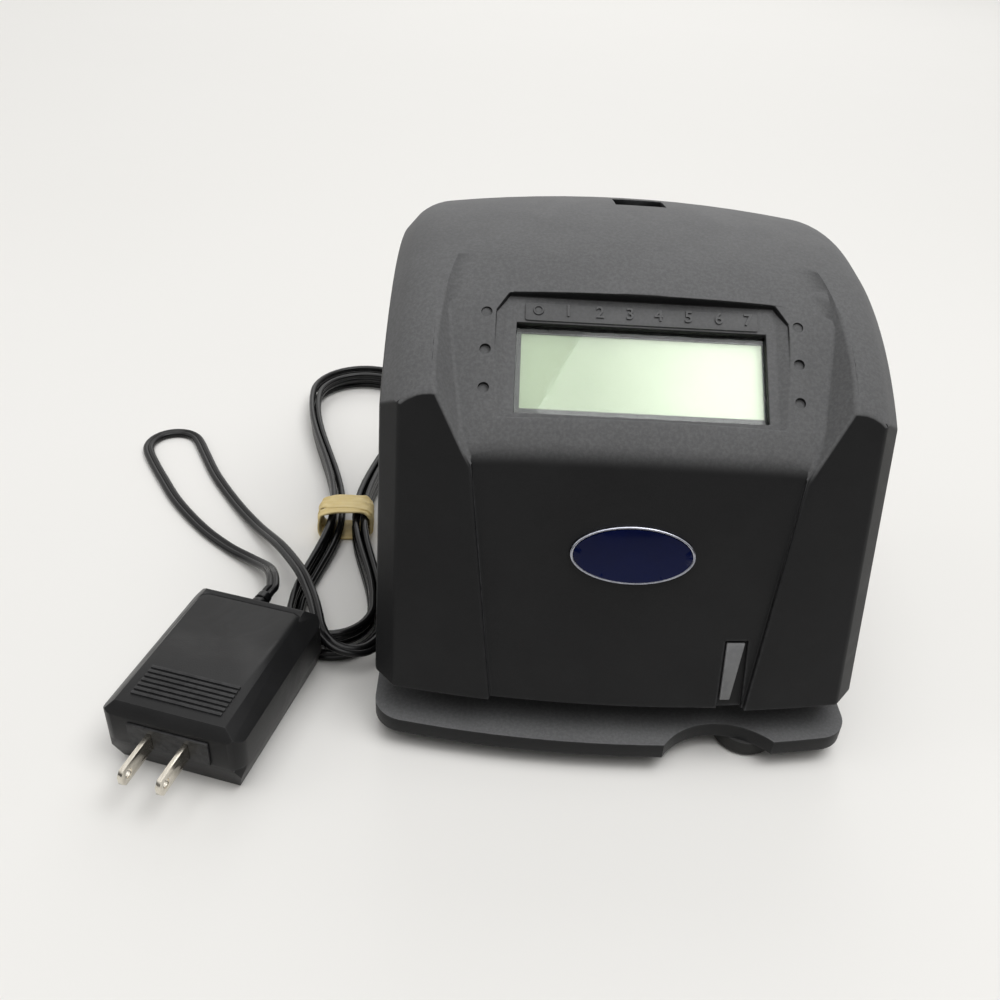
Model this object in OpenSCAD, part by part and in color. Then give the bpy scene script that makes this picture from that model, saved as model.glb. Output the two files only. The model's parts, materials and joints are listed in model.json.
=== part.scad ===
// Card time recorder: a lift-off case with a tilted display over a print mechanism, on a base plate.
// The base plate's lip and the case leave the card throat between them. A plug-in adapter lies on
// the left with its twin lead, which makes one large loop and a banded hank beside the clock.
// X runs to the right, Y to the back and Z up, in millimetres. The floor is Z = 0.

/* [Base plate] */
// Width of the base plate and of the case
base_w = 160; // [156:1:170]
// Depth from the lip to the back of the rear cover
base_d = 150; // [147:1:160]
// Height of the base plate's rim
rim_h = 5.8; // [5:0.1:8]
// Thickness of the base plate's skin and rim
base_t = 2.5; // [2:0.1:3.2]
// Radius of the bowed lip
lip_bow_r = 380; // [320:5:520]
// Radius of the base plate's corners
base_corner_r = 11; // [8:0.5:13]
// Distance of the thumb notch and the print mark from the right side
mark_in = 43.5; // [42:0.5:48]
// Depth of the thumb notch
thumb_depth = 9.3; // [6:0.1:11]
// Radius of the thumb notch
thumb_r = 24; // [20:0.5:28]
// Diameter of a rubber foot
foot_d = 22; // [16:0.5:24]
// Height of a rubber foot below the rim
foot_h = 6.5; // [5:0.1:9]
// Distance of a foot's middle from the side
foot_inset_x = 32; // [28:0.5:40]
// Distance of a foot's middle from the lip and from the back
foot_inset_y = 19; // [17:0.5:24]

/* [Chassis] */
// Height of the card throat
throat_h = 6.2; // [5:0.1:8]
// Distance of the card's stop from the back
stop_back = 35; // [33:0.5:37]
// Thickness of the chassis deck
deck_t = 3; // [2.5:0.1:4]
// Distance of the deck's front edge behind the lip
deck_setback = 17; // [14:0.5:20]
// Height of the ledges that carry the case, above the deck
ledge_h = 2.1; // [1.5:0.1:3.5]
// Gap between the case and what it seats on
seat_gap = 0.3; // [0.2:0.05:0.5]
// Thickness of the chassis walls
web_t = 3; // [2.5:0.1:3.6]
// Thickness of the rear cover
rear_t = 3; // [2.4:0.1:3.5]

/* [Case] */
// Height of the case from its lower edge to its crown
case_h = 126.8; // [122:0.2:134]
// Wall of the case
wall = 2.6; // [2:0.1:3]
// Reach of the lip in front of the case
lip_reach = 3.4; // [2:0.1:5]
// Lean of the front from the vertical, in degrees
recline = 15.5; // [14:0.25:17]
// Radius of the front's bow
front_bow_r = 420; // [380:5:520]
// Width of the bevel down each front corner
bevel_w = 6.5; // [4:0.1:8]
// Depth of the bevel down each front corner
bevel_d = 7.5; // [5:0.1:9]
// Radius of the roof's sweep, seen from the side
roof_r = 129.4; // [127:0.2:133]
// Distance of the roof's highest point ahead of the back
crown_setback = 38.3; // [36:0.5:41]
// Radius of the roof's crown, seen from the front
crown_r = 473; // [420:5:560]
// Width of the rounded shoulder beside the crown
shoulder_w = 16; // [13:0.5:19]
// Radius of the rounded shoulder
shoulder_r = 21; // [18:0.5:24]
// Width of the bevel along the shoulder's outer edge
roof_bevel_w = 5.5; // [4:0.25:7]
// Drop of the bevel along the shoulder's outer edge
roof_bevel_drop = 6.4; // [4:0.2:8]

/* [Front panel] */
// Distance of the panel behind the middle of the front's bow
panel_set = 1.9; // [1.6:0.1:2.6]
// Radius of the panel's crown, seen along its slope
panel_crown_r = 420; // [390:5:480]
// Height of the panel's bend above the case's lower edge
bend_h = 85; // [83:0.25:86.5]
// Slope of the panel above the bend, in degrees
panel_slope = 42; // [40:0.25:44]
// Radius of the panel's bend
bend_r = 30; // [20:0.5:36]
// Length of the flat panel above the bend, up to where it curves into the roof
panel_flat = 36; // [33:0.25:38]
// Half the width between the creases at the lower edge
crease_low = 41.5; // [39:0.25:44]
// Half the width between the creases at the bend
crease_mid = 52; // [50:0.25:54]
// Half the width between the cheeks' edges at their bend
cheek_mid = 62; // [60:0.25:64]
// Half the width between the creases' tips
crease_tip = 62.5; // [61:0.25:63.5]

/* [Display] */
// Width of the display window
window_w = 78; // [72:0.5:82]
// Length of the display window along its slope
window_l = 30; // [27:0.5:31]
// Distance of the window's middle above the panel's bend, along the slope
window_s = 24.9; // [24.4:0.1:25.8]
// Slope of the display recess, in degrees
recess_slope = 38.5; // [37.5:0.25:39.5]
// Depth of the recess at the middle of its lower edge
recess_sill = 3.3; // [3.1:0.1:3.6]
// Width of the bevel along each side of the recess
recess_bevel = 4; // [3:0.25:5]
// Width of the recess at its lower edge
recess_w = 92; // [88:0.5:94]
// Width of the recess at its upper edge
recess_top_w = 83; // [80:0.5:86]
// Reach of the recess below the window's middle
recess_low = 17; // [16.5:0.25:18]
// Reach of the recess above the window's middle
recess_high = 24.2; // [23.5:0.1:25]
// Thickness of the frame under the recess
pod_t = 2.2; // [1.8:0.1:2.6]
// Thickness of the lens
lens_t = 1.5; // [1:0.1:2]
// Overlap of the lens behind the window's edge
lens_lap = 3; // [2:0.25:3.5]
// Gap between the lens and the display glass
lens_gap = 0.8; // [0.6:0.1:1.5]
// Thickness of the display glass
lcd_t = 3; // [2:0.1:3.4]
// Thickness of the circuit boards
board_t = 1.6; // [1.2:0.1:2]
// Length of the day strip
strip_w = 73; // [68:0.5:76]
// Height of the day strip along the slope
strip_l = 6; // [5:0.1:7]
// Thickness of the day strip
strip_t = 0.6; // [0.4:0.05:0.9]
// Diameter of a dimple beside the display
dimple_d = 3.4; // [2.6:0.1:4]
// Depth of a dimple
dimple_depth = 1.2; // [0.8:0.1:1.5]
// Half the distance between the two columns of dimples
dimple_x = 48.5; // [48:0.1:49.5]
// Distance from dimple to dimple up the slope
dimple_step = 12.5; // [11.5:0.1:13]

/* [Front trim] */
// Width of the badge
badge_w = 39; // [34:0.5:44]
// Height of the badge
badge_l = 19.2; // [16:0.2:22]
// Thickness of the badge's rim
badge_t = 1.8; // [1.4:0.1:2.2]
// Depth of the badge's seat in the panel
badge_seat = 0.6; // [0.5:0.05:0.9]
// Width of the badge's rim
badge_rim_w = 1; // [0.8:0.1:1.6]
// Crown of the badge's dome above its rim
badge_crown = 0.9; // [0.5:0.1:1.4]
// Height of the badge's middle above the case's lower edge, along the panel
badge_up = 53.5; // [48:0.5:58]
// Depth of the slot for the print mark
mark_slot = 1.2; // [0.9:0.1:1.6]
// Thickness of the print mark
mark_t = 1; // [0.7:0.1:1.4]

/* [Lock] */
// Distance of the lock right of the middle
lock_x = 4.5; // [0:0.25:8]
// Distance of the lock's middle ahead of the back
lock_setback = 16.6; // [16.2:0.1:18]
// Depth of the lock's pocket in the roof
pocket_depth = 4.2; // [3.5:0.1:5]
// Width of the lock's pocket
pocket_w = 18; // [17:0.25:20]
// Length of the lock's pocket
pocket_l = 14; // [13.8:0.1:14.6]
// Radius of the lock's housing
lock_r = 5.5; // [5:0.1:6]
// Length of the lock's housing below its flange
lock_l = 16; // [14:0.25:18]
// Radius of the turning lock cylinder
plug_r = 3.6; // [3:0.1:4]
// Length of the lock cam from its axis
cam_l = 10.5; // [9.5:0.1:11]
// Thickness of the lock cam and of its catch
cam_t = 2; // [1.5:0.1:2.5]

/* [Mechanism] */
// Height of the shafts above the deck
axis_h = 14.5; // [14.3:0.1:17]
// Radius of a guide shaft
guide_r = 3; // [2.5:0.1:3.5]
// Radial clearance of running fits
run_gap = 0.05; // [0.03:0.01:0.08]
// Clearance of fixed fits
fit_gap = 0.02; // [0.01:0.01:0.04]
// Distance of the front guide shaft ahead of the print line
guide_front = 20; // [19:0.25:21]
// Distance of the lead screw behind the print line
screw_back = 20; // [19.5:0.25:22]
// Distance of the rear guide shaft behind the lead screw
guide_back = 18; // [17:0.25:19]
// Distance of the print line behind the lip
print_y = 55; // [54:0.25:56]
// Radius of the lead screw's journals
journal_r = 3; // [2.5:0.1:3.2]
// Radius of the lead screw's thread
thread_r = 4.2; // [3.8:0.1:4.6]
// Travel of the carriage per turn of the lead screw
screw_lead = 24; // [20:1:30]
// Thickness of the frame plates
plate_t = 1.6; // [1.2:0.1:2]
// Height of the frame plates
plate_h = 45; // [44.5:0.25:48]
// Travel of the carriage to the left
travel_left = 40; // [30:1:40]
// Travel of the carriage to the right
travel_right = 6; // [3:0.5:6]
// Width of the carriage
carriage_w = 26; // [25.5:0.25:28]
// Height of the carriage
carriage_h = 14; // [12:0.25:14]
// Radius of the print head
head_r = 10.5; // [9:0.25:11]
// Height of the print head's barrel above the carriage
head_up = 7; // [5:0.25:8]
// Gear module
gear_m = 0.8; // [0.7:0.05:0.85]
// Teeth of the lead screw's gear
gear_teeth = 30; // [28:1:30]
// Teeth of the motor's pinion
pinion_teeth = 15; // [14:1:16]
// Face width of the gears
gear_w = 4.8; // [3.5:0.1:5]
// Radius of the motor
motor_r = 17; // [14:0.5:18]
// Length of the motor
motor_l = 20; // [15:0.5:24]
// Height of the ribbon cassette
cassette_h = 10; // [9:0.25:12]
// Radius of a ribbon spool
spool_r = 16; // [13:0.25:16.5]
// Width of the ribbon
ribbon_w = 12; // [10:0.25:12.5]
// Thickness of the ribbon
ribbon_t = 0.2; // [0.15:0.05:0.3]
// Diameter of a setting key
key_d = 6; // [5:0.25:7]
// Height of a setting key above its board
key_h = 3; // [2.5:0.1:3.5]

/* [Adapter and lead] */
// Width of the adapter
ad_w = 49; // [46:0.5:53]
// Length of the adapter
ad_l = 64; // [60:0.5:70]
// Height of the adapter
ad_h = 27; // [25:0.5:31]
// Height of the adapter's parting line
ad_split = 11; // [9:0.25:13]
// Wall of the adapter's shells
ad_wall = 2; // [1.6:0.1:2.4]
// Distance between the plug's blades
blade_gap = 12.7; // [12.5:0.1:12.9]
// Height of a blade
blade_h = 6.35; // [6.1:0.05:6.6]
// Thickness of a blade
blade_t = 1.5; // [1.4:0.05:1.6]
// Length of a blade outside its seat
blade_l = 16.6; // [15.8:0.1:17.8]
// Length of the adapter's strain relief
relief_l = 14; // [12:0.5:20]
// Width of the twin lead
lead_w = 5; // [4.7:0.1:5.1]
// Thickness of the twin lead
lead_t = 2.7; // [2.5:0.05:2.8]

/* [Hidden] */
$fn = 64;
charcoal = [0.12, 0.12, 0.13];
dark_steel = [0.45, 0.46, 0.48];
bright_steel = [0.75, 0.76, 0.78];
board_green = [0.08, 0.3, 0.16];
far = 400;
half_w = base_w / 2;
front_y = -base_d / 2;
back_y = base_d / 2;

// Heights that stack up from the floor
base_top = foot_h + rim_h;
deck_z = base_top + throat_h;
deck_top = deck_z + deck_t;
ledge_top = deck_top + ledge_h;
case_z = ledge_top + seat_gap;
case_top = case_z + case_h;
axis_z = deck_top + axis_h;

// Places along the depth
case_front = front_y + lip_reach;
rear_in = back_y - rear_t;
case_back = rear_in - seat_gap;
stop_y = back_y - stop_back;
print_line = front_y + print_y;
guide_y1 = print_line - guide_front;
screw_y = print_line + screw_back;
guide_y2 = screw_y + guide_back;
deck_half = half_w - 8;
mark_x = half_w - mark_in;
ledge_half = half_w - 1;

// Points on an arc, counted by angle
function arc(c, r, a0, a1, n) = [for (i = [0 : n])
    let (a = a0 + (a1 - a0) * i / n)
    c + r * [cos(a), sin(a)]];
function unit(v) = v / norm(v);

// Draws a side view, whose first axis is Y and second axis is Z, through a width w about x
module side_cut(x, w) {
    translate([x - w / 2, 0, 0])
        rotate([90, 0, 90])
            linear_extrude(w)
                children();
}

// Lays a rod along X from x0 to x1
module rod(x0, x1, y, z, r) {
    translate([x0, y, z])
        rotate([0, 90, 0])
            cylinder(h = x1 - x0, r = r);
}

module block(low, high) {
    translate(low)
        cube(high - low);
}

module rounded(w, l, r) {
    square([w - 2 * r, l], center = true);
    square([w, l - 2 * r], center = true);
    for (sx = [-1, 1], sy = [-1, 1])
        translate([sx * (w / 2 - r), sy * (l / 2 - r)])
            circle(r);
}

// Base plate

screw_spots = [for (sx = [-1, 1], y = [stop_y + 9, rear_in - 9]) [sx * (deck_half - 6), y]];
foot_spots = [for (sx = [-1, 1], sy = [-1, 1]) [sx * (half_w - foot_inset_x), sy * (back_y - foot_inset_y)]];
screw_r = 1.5;
screw_head_r = 2.8;
screw_head_t = 2;
foot_pin_r = 3;
pad_depth = 1.2;
pad_w = travel_left + travel_right + carriage_w + 4;
pad_x = mark_x + (travel_right - travel_left) / 2;
pad_l = 14;

// The plate's outline: a bowed lip whose corners are arcs that meet the bow and the sides smoothly
module base_outline(inset) {
    r = base_corner_r;
    bow_y = front_y + lip_bow_r;
    corner = [half_w - r, bow_y - sqrt(pow(lip_bow_r - r, 2) - pow(half_w - r, 2))];
    meet = corner - [0, bow_y];
    out = unit(meet);
    difference() {
        intersection() {
            rounded(base_w - 2 * inset, base_d - 2 * inset, r - inset);
            translate([0, bow_y])
                circle(lip_bow_r - inset, $fn = 180);
        }
        for (side = [0, 1])
            mirror([side, 0])
                difference() {
                    polygon([corner, corner + [2 * r, 0], corner + [2 * r, -2 * r], corner + 2 * r * out]);
                    translate(corner)
                        circle(r - inset);
                }
    }
}

module thumb_scoop(inset) {
    lip_y = front_y + lip_bow_r - sqrt(pow(lip_bow_r, 2) - pow(mark_x, 2));
    translate([mark_x, lip_y + thumb_depth - thumb_r])
        circle(thumb_r + inset);
}

module base_plate() {
    color(charcoal)
        difference() {
            union() {
                difference() {
                    translate([0, 0, foot_h])
                        linear_extrude(rim_h)
                            difference() {
                                base_outline(0);
                                thumb_scoop(0);
                            }
                    translate([0, 0, foot_h - 1])
                        linear_extrude(rim_h - base_t + 1)
                            difference() {
                                base_outline(base_t);
                                thumb_scoop(base_t);
                            }
                }
                for (p = foot_spots)
                    translate([p[0], p[1], foot_h])
                        cylinder(h = rim_h - base_t / 2, r = foot_d / 2 - 2);
            }
            for (p = foot_spots)
                translate([p[0], p[1], foot_h - 1])
                    cylinder(h = 4, r = foot_pin_r + fit_gap);
            for (p = screw_spots)
                translate([p[0], p[1], foot_h])
                    cylinder(h = rim_h + 1, r = screw_r + fit_gap);
            block([pad_x - pad_w / 2 - fit_gap, print_line - pad_l / 2 - fit_gap, base_top - pad_depth],
                  [pad_x + pad_w / 2 + fit_gap, print_line + pad_l / 2 + fit_gap, base_top + 1]);
        }
}

module rubber_feet() {
    color([0.06, 0.06, 0.06])
        for (p = foot_spots)
            translate([p[0], p[1], 0]) {
                cylinder(h = 1, r1 = foot_d / 2 - 1, r2 = foot_d / 2);
                translate([0, 0, 1])
                    cylinder(h = foot_h - 1, r = foot_d / 2);
                translate([0, 0, foot_h])
                    cylinder(h = 2.5, r = foot_pin_r);
            }
}

module base_screws() {
    color(bright_steel)
        for (p = screw_spots)
            translate([p[0], p[1], base_top - base_t]) {
                translate([0, 0, -screw_head_t])
                    cylinder(h = screw_head_t, r = screw_head_r);
                cylinder(h = base_t + throat_h - 1, r = screw_r);
            }
}

module platen_pad() {
    color([0.1, 0.1, 0.1])
        block([pad_x - pad_w / 2, print_line - pad_l / 2, base_top - pad_depth],
              [pad_x + pad_w / 2, print_line + pad_l / 2, base_top]);
}

// Chassis

runner_w = 12;
web_h = 24;
socket_x = -46;
socket_w = 11;
socket_h = 12;
socket_z = deck_top + 14.5;
lever_x = 10;
lever_w = 5;
lever_r = 2.5;
lever_pin_r = 1;
lever_y = stop_y - 10;
lever_z = deck_top + 5.5;
lever_swing = 18;
lever_tip_z = base_top + 1;
leg_t = 3.5;
leg_w = ribbon_w;
left_plate_x = mark_x - travel_left - carriage_w / 2 - leg_t - 2 - gear_w - 3.2;
right_plate_x = mark_x + travel_right + carriage_w / 2 + 2 + leg_t + 3;
cassette_x0 = mark_x - travel_left - carriage_w / 2 - 2 - leg_t;
cassette_x1 = mark_x + travel_right + carriage_w / 2 + 2 + leg_t;
rear_screw_z = deck_top + 10;
rear_screw_x = deck_half - 7;

module chassis_deck() {
    color([0.16, 0.16, 0.17])
        difference() {
            union() {
                block([-deck_half, front_y + deck_setback, deck_z], [deck_half, rear_in, deck_top]);
                for (side = [0, 1])
                    mirror([side, 0, 0])
                        block([deck_half - 1, front_y + deck_setback + 8, deck_z],
                              [ledge_half, rear_in, ledge_top]);
                block([-deck_half, stop_y, base_top], [deck_half, stop_y + web_t, deck_z]);
                for (sx = [-1, 1])
                    translate([sx * (deck_half - runner_w / 2) - runner_w / 2, stop_y, base_top])
                        cube([runner_w, rear_in - stop_y, throat_h]);
                block([-deck_half, rear_in - web_t, base_top], [deck_half, rear_in, deck_top + web_h]);
            }
            block([cassette_x0 - 1, print_line - leg_w / 2 - 1, deck_z - 1],
                  [cassette_x1 + 1, print_line + leg_w / 2 + 1, deck_top + 1]);
            block([lever_x - lever_w / 2 - 0.5, lever_y - 4, deck_z - 1],
                  [lever_x + lever_w / 2 + 0.5, lever_y + 8, deck_top + 1]);
            for (p = screw_spots)
                translate([p[0], p[1], base_top - 1])
                    cylinder(h = throat_h + 1, r = screw_r + fit_gap);
            for (sx = [-1, 1])
                translate([sx * rear_screw_x, rear_in + 1, rear_screw_z])
                    rotate([90, 0, 0])
                        cylinder(h = web_t + 2, r = screw_r + fit_gap);
            block([socket_x - socket_w / 2 - fit_gap, rear_in - web_t - 1, socket_z - socket_h / 2 - fit_gap],
                  [socket_x + socket_w / 2 + fit_gap, rear_in + 1, socket_z + socket_h / 2 + fit_gap]);
        }
}

module rear_cover() {
    color(charcoal)
        difference() {
            intersection() {
                roof(0);
                block([-half_w, rear_in, base_top], [half_w, back_y, far]);
            }
            translate([socket_x, back_y + 1, socket_z])
                rotate([90, 0, 0])
                    cylinder(h = rear_t + 2, r = dc_grip_r + 0.6);
            for (sx = [-1, 1])
                translate([sx * rear_screw_x, back_y + 1, rear_screw_z])
                    rotate([90, 0, 0])
                        cylinder(h = rear_t + 2, r = screw_r + fit_gap);
        }
}

module rear_screws() {
    color(bright_steel)
        for (sx = [-1, 1])
            translate([sx * rear_screw_x, back_y, rear_screw_z])
                rotate([90, 0, 0]) {
                    cylinder(h = rear_t + web_t, r = screw_r);
                    translate([0, 0, -screw_head_t])
                        cylinder(h = screw_head_t, r = screw_head_r);
                }
}

// Case

crown_y = back_y - crown_setback;
crown_z = case_top - roof_r;
crown_c = [crown_y, crown_z];

function crown_at(x, inset) = roof_r - inset - x * x / (2 * crown_r);

// The roof's section from the middle to the side, as [radius, x]
function roof_half(inset) =
    let (xs = half_w - shoulder_w - inset / 2,
         a0 = asin(xs / crown_r),
         cx = xs - shoulder_r * sin(a0),
         cr = crown_at(xs, inset) - shoulder_r * cos(a0),
         xe = half_w - roof_bevel_w - inset * 0.7,
         a1 = asin((xe - cx) / shoulder_r),
         re = cr + shoulder_r * cos(a1))
    concat(
        [for (i = [0 : 5]) [crown_at(xs * i / 6, inset), xs * i / 6]],
        [for (i = [0 : 5])
            let (a = a0 + (a1 - a0) * i / 5)
            [cr + shoulder_r * cos(a), cx + shoulder_r * sin(a)]],
        [[re - roof_bevel_drop, half_w - inset]]);

module roof(inset) {
    half = roof_half(inset);
    n = len(half);
    translate([0, crown_y, crown_z])
        rotate([0, 90, 0])
            rotate_extrude($fn = 180)
                polygon(concat(
                    [[0, -half_w + inset]],
                    [for (i = [n - 1 : -1 : 1]) [half[i][0], -half[i][1]]],
                    half,
                    [[0, half_w - inset]]));
}

// The leaning front with its bow and corner bevels
module front_body(inset) {
    xb = half_w - bevel_w;
    bow = front_bow_r - sqrt(pow(front_bow_r, 2) - pow(xb, 2));
    m = bevel_d * cos(recline) / bevel_w;
    apex = bow - m * xb + inset * sqrt(1 + m * m);
    hw = half_w - inset;
    translate([0, case_front, case_z])
        rotate([-recline, 0, 0])
            linear_extrude(2 * far, center = true)
                intersection() {
                    translate([0, front_bow_r])
                        circle(front_bow_r - inset, $fn = 180);
                    polygon([[-hw, far], [-hw, apex + m * hw], [0, apex], [hw, apex + m * hw], [hw, far]]);
                }
}

front_dir = [sin(recline), cos(recline)];
panel_dir = [cos(panel_slope), sin(panel_slope)];
panel_out = [-sin(panel_slope), cos(panel_slope)];
bend_pt = [case_front + panel_set + bend_h * tan(recline), case_z + bend_h];

// Side view of what lies behind the front panel, as [y, z]
function panel_side(inset) =
    let (n1 = [cos(recline), -sin(recline)],
         n2 = -panel_out,
         k = bend_pt + inset * (n1 + n2) / (1 + n1 * n2),
         a1 = 90 - recline,
         r = bend_r - inset,
         tl = r * tan((a1 - panel_slope) / 2),
         c1 = k - tl * front_dir + r * n1,
         p = k + panel_flat * panel_dir,
         q = p - crown_c,
         r0 = roof_r - inset,
         rb = (r0 * r0 - q * q) / (2 * (q * n2 + r0)),
         c2 = p + rb * n2,
         u = unit(c2 - crown_c),
         a2 = atan2(-u[0], u[1]))
    concat(
        [k - (bend_h + 60) * front_dir],
        arc(c1, r, a1 + 90, panel_slope + 90, 8),
        arc(c2, rb, panel_slope + 90, a2 + 90, 10),
        [crown_c + r0 * u + 60 * [cos(a2), sin(a2)]],
        [for (end = [crown_c + r0 * u + 60 * [cos(a2), sin(a2)], k - (bend_h + 60) * front_dir])
            end - ((end - bend_pt) * panel_out + panel_crown_r) * panel_out]);

crease_low_pt = [crease_mid, case_front + (bend_h - 9) * tan(recline) + 2, case_z + bend_h - 9];
cheek_pt = [cheek_mid, case_front + (bend_h + 11) * tan(recline) + 5.5, case_z + bend_h + 11];
tip_pt = [crease_tip, case_front + bend_h * tan(recline) + 51, case_z + bend_h + 37];
facet_n = unit(cross(cheek_pt - crease_low_pt, tip_pt - crease_low_pt));

// The half space on the middle's side of the right crease
module facet_side(inset) {
    p = crease_low_pt - inset * facet_n;
    translate(p)
        rotate([0, -asin(facet_n[2]), atan2(facet_n[1], facet_n[0])])
            translate([0, -far, -far])
                cube([2 * far, 2 * far, 2 * far]);
}

// The half-width of the facet's cut at the wedge's top, level with the middle of the panel's front
y_mid = case_front + (bend_h - 9) * tan(recline) + panel_set / 2 + front_bow_r
    - sqrt(pow(front_bow_r, 2) - pow(crease_mid, 2));
crease_at = crease_mid - facet_n[1] / facet_n[0] * (y_mid - crease_low_pt[1]);

// The zone between the creases: a facetted part above the bend and a tapering part below it
module panel_zone(inset) {
    z0 = crease_low_pt[2];
    grow = (crease_at - crease_low) / (z0 - case_z);
    intersection() {
        facet_side(inset);
        mirror([1, 0, 0])
            facet_side(inset);
        block([-half_w, -far, z0 - 1], [half_w, far, far]);
    }
    translate([0, far, 0])
        rotate([90, 0, 0])
            linear_extrude(2 * far)
                polygon([[-crease_at - inset, z0], [-crease_low + 40 * grow - inset, case_z - 40],
                         [crease_low - 40 * grow + inset, case_z - 40], [crease_at + inset, z0]]);
}

// What lies behind the crowned panel: its side view turned about an axis along the slope behind it
module behind_panel(inset) {
    axis = bend_pt - panel_crown_r * panel_out;
    translate([0, axis[0], axis[1]])
        rotate([panel_slope - 90, 0, 0])
            rotate_extrude($fn = 360)
                polygon([for (p = panel_side(inset)) [(p - axis) * panel_out, (p - axis) * panel_dir]]);
}

module panel_cut(inset) {
    difference() {
        intersection() {
            panel_zone(inset);
            block([-half_w - 1, -far + 1, -far / 2], [half_w + 1, crown_y, far]);
        }
        behind_panel(inset);
    }
}

module case_form(inset, low, back) {
    difference() {
        intersection() {
            front_body(inset);
            roof(inset);
            block([-half_w + inset, -far, low], [half_w - inset, back, far]);
        }
        panel_cut(inset);
    }
}

// The display's own frame: origin at the window's middle on the recess floor, Z out of the display
floor_drop = recess_sill + recess_low * tan(panel_slope - recess_slope);
window_pt = bend_pt + window_s * panel_dir - floor_drop * panel_out;

module on_display(h) {
    translate([0, window_pt[0], window_pt[1]])
        rotate([recess_slope, 0, 0])
            translate([0, 0, h])
                children();
}

// A frame on the panel above the bend, s up its slope
module on_slope(s) {
    translate([0, bend_pt[0] + s * panel_dir[0], bend_pt[1] + s * panel_dir[1]])
        rotate([panel_slope, 0, 0])
            children();
}

// A frame on the panel below the bend, up its lean, with Z out of the panel
module on_front(up) {
    translate([0, case_front + panel_set + up * front_dir[0], case_z + up * front_dir[1]])
        rotate([90 - recline, 0, 0])
            children();
}

module recess_outline() {
    polygon([[-recess_w / 2, -recess_low], [recess_w / 2, -recess_low],
             [recess_w / 2 - 0.5, recess_high - 6.5], [recess_top_w / 2, recess_high],
             [-recess_top_w / 2, recess_high], [-recess_w / 2 + 0.5, recess_high - 6.5]]);
}

// The panel falls away towards its sides by these amounts, square to it
dimple_drop = panel_crown_r - sqrt(pow(panel_crown_r, 2) - pow(dimple_x, 2));
bend_turn = 90 - recline - panel_slope;
mark_crown_r = panel_crown_r - (bend_h / cos(recline) - 14) * sin(bend_turn);
mark_drop = (mark_crown_r - sqrt(pow(mark_crown_r, 2) - pow(mark_x, 2))) * cos(bend_turn);

// A frame on the panel's lower edge at the print mark
module on_mark() {
    on_front(0)
        translate([mark_x, 0, -mark_drop])
            rotate([0, asin(mark_x / mark_crown_r), 0])
                children();
}

lock_y = back_y - lock_setback;
pocket_z = crown_z + sqrt(pow(roof_r, 2) - pow(lock_y - crown_y, 2)) - pocket_depth;
boss_t = 3;
mark_low = 3.5;
mark_high = 24;

module upper_case() {
    color(charcoal)
        difference() {
            case_form(0, case_z, case_back);
            difference() {
                case_form(wall, case_z - 1, far);
                on_display(-pod_t)
                    translate([-dimple_x - 6, -recess_low - 5, 0])
                        cube([2 * dimple_x + 12, recess_low + recess_high + 11, 14]);
                block([lock_x - pocket_w / 2 - wall, lock_y - pocket_l / 2 - wall, pocket_z - boss_t],
                      [lock_x + pocket_w / 2 + wall, case_back, far]);
            }
            on_display(0)
                intersection() {
                    linear_extrude(12)
                        recess_outline();
                    rotate([90, 0, 0])
                        linear_extrude(far, center = true)
                            polygon([[-recess_w / 2 + recess_bevel, 0], [recess_w / 2 - recess_bevel, 0],
                                     [recess_w / 2, 2], [recess_w / 2, 12],
                                     [-recess_w / 2, 12], [-recess_w / 2, 2]]);
                }
            on_display(-pod_t - 1)
                linear_extrude(pod_t + 2)
                    square([window_w, window_l], center = true);
            for (sx = [-1, 1], i = [-1 : 1])
                on_slope(window_s + 4.7 + i * dimple_step)
                    translate([sx * dimple_x, 0, -dimple_drop - dimple_depth])
                        cylinder(h = dimple_depth + 2, d = dimple_d);
            block([lock_x - pocket_w / 2, lock_y - pocket_l / 2, pocket_z],
                  [lock_x + pocket_w / 2, lock_y + pocket_l / 2, far]);
            translate([lock_x, lock_y, pocket_z - boss_t - 1])
                cylinder(h = boss_t + 2, r = lock_r + fit_gap);
            on_mark()
                translate([0, -5, -mark_slot])
                    linear_extrude(mark_slot + 3)
                        polygon([[-3.8, 0], [4.6, 0], [3.8, mark_high + 6], [-3.8, mark_high + 6]]);
            on_front(badge_up)
                translate([0, 0, -badge_seat])
                    linear_extrude(badge_seat + 3)
                        polygon(oval(badge_w + 2 * fit_gap, badge_l + 2 * fit_gap));
        }
}

module display_lens() {
    color([0.75, 0.8, 0.78, 0.4])
        on_display(-pod_t - lens_t)
            linear_extrude(lens_t)
                square([window_w + 2 * lens_lap, window_l + 2 * lens_lap], center = true);
}

module day_strip() {
    color([0.2, 0.2, 0.21])
        on_display(0)
            translate([0, window_l / 2 + 0.8 + strip_l / 2, 0])
                linear_extrude(strip_t)
                    rounded(strip_w, strip_l, 0.8);
}

function oval(w, l) = [for (i = [0 : 47]) [w / 2 * cos(i * 7.5), l / 2 * sin(i * 7.5)]];

module badge_rim() {
    color(bright_steel)
        on_front(badge_up)
            translate([0, 0, -badge_seat])
                linear_extrude(badge_t)
                    difference() {
                        polygon(oval(badge_w, badge_l));
                        polygon(oval(badge_w - 2 * badge_rim_w, badge_l - 2 * badge_rim_w));
                    }
}

// The dome's ball passes through the rim's inner top edge at the badge's long ends
module badge_dome() {
    reach = badge_w / 2 - badge_rim_w;
    ball_r = (reach * reach + badge_crown * badge_crown) / (2 * badge_crown);
    color([0.05, 0.07, 0.35])
        on_front(badge_up)
            translate([0, 0, -badge_seat])
                intersection() {
                    linear_extrude(badge_t + badge_crown + 1)
                        polygon(oval(badge_w - 2 * badge_rim_w, badge_l - 2 * badge_rim_w));
                    translate([0, 0, badge_t + badge_crown - ball_r])
                        sphere(ball_r, $fn = 200);
                }
}

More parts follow.
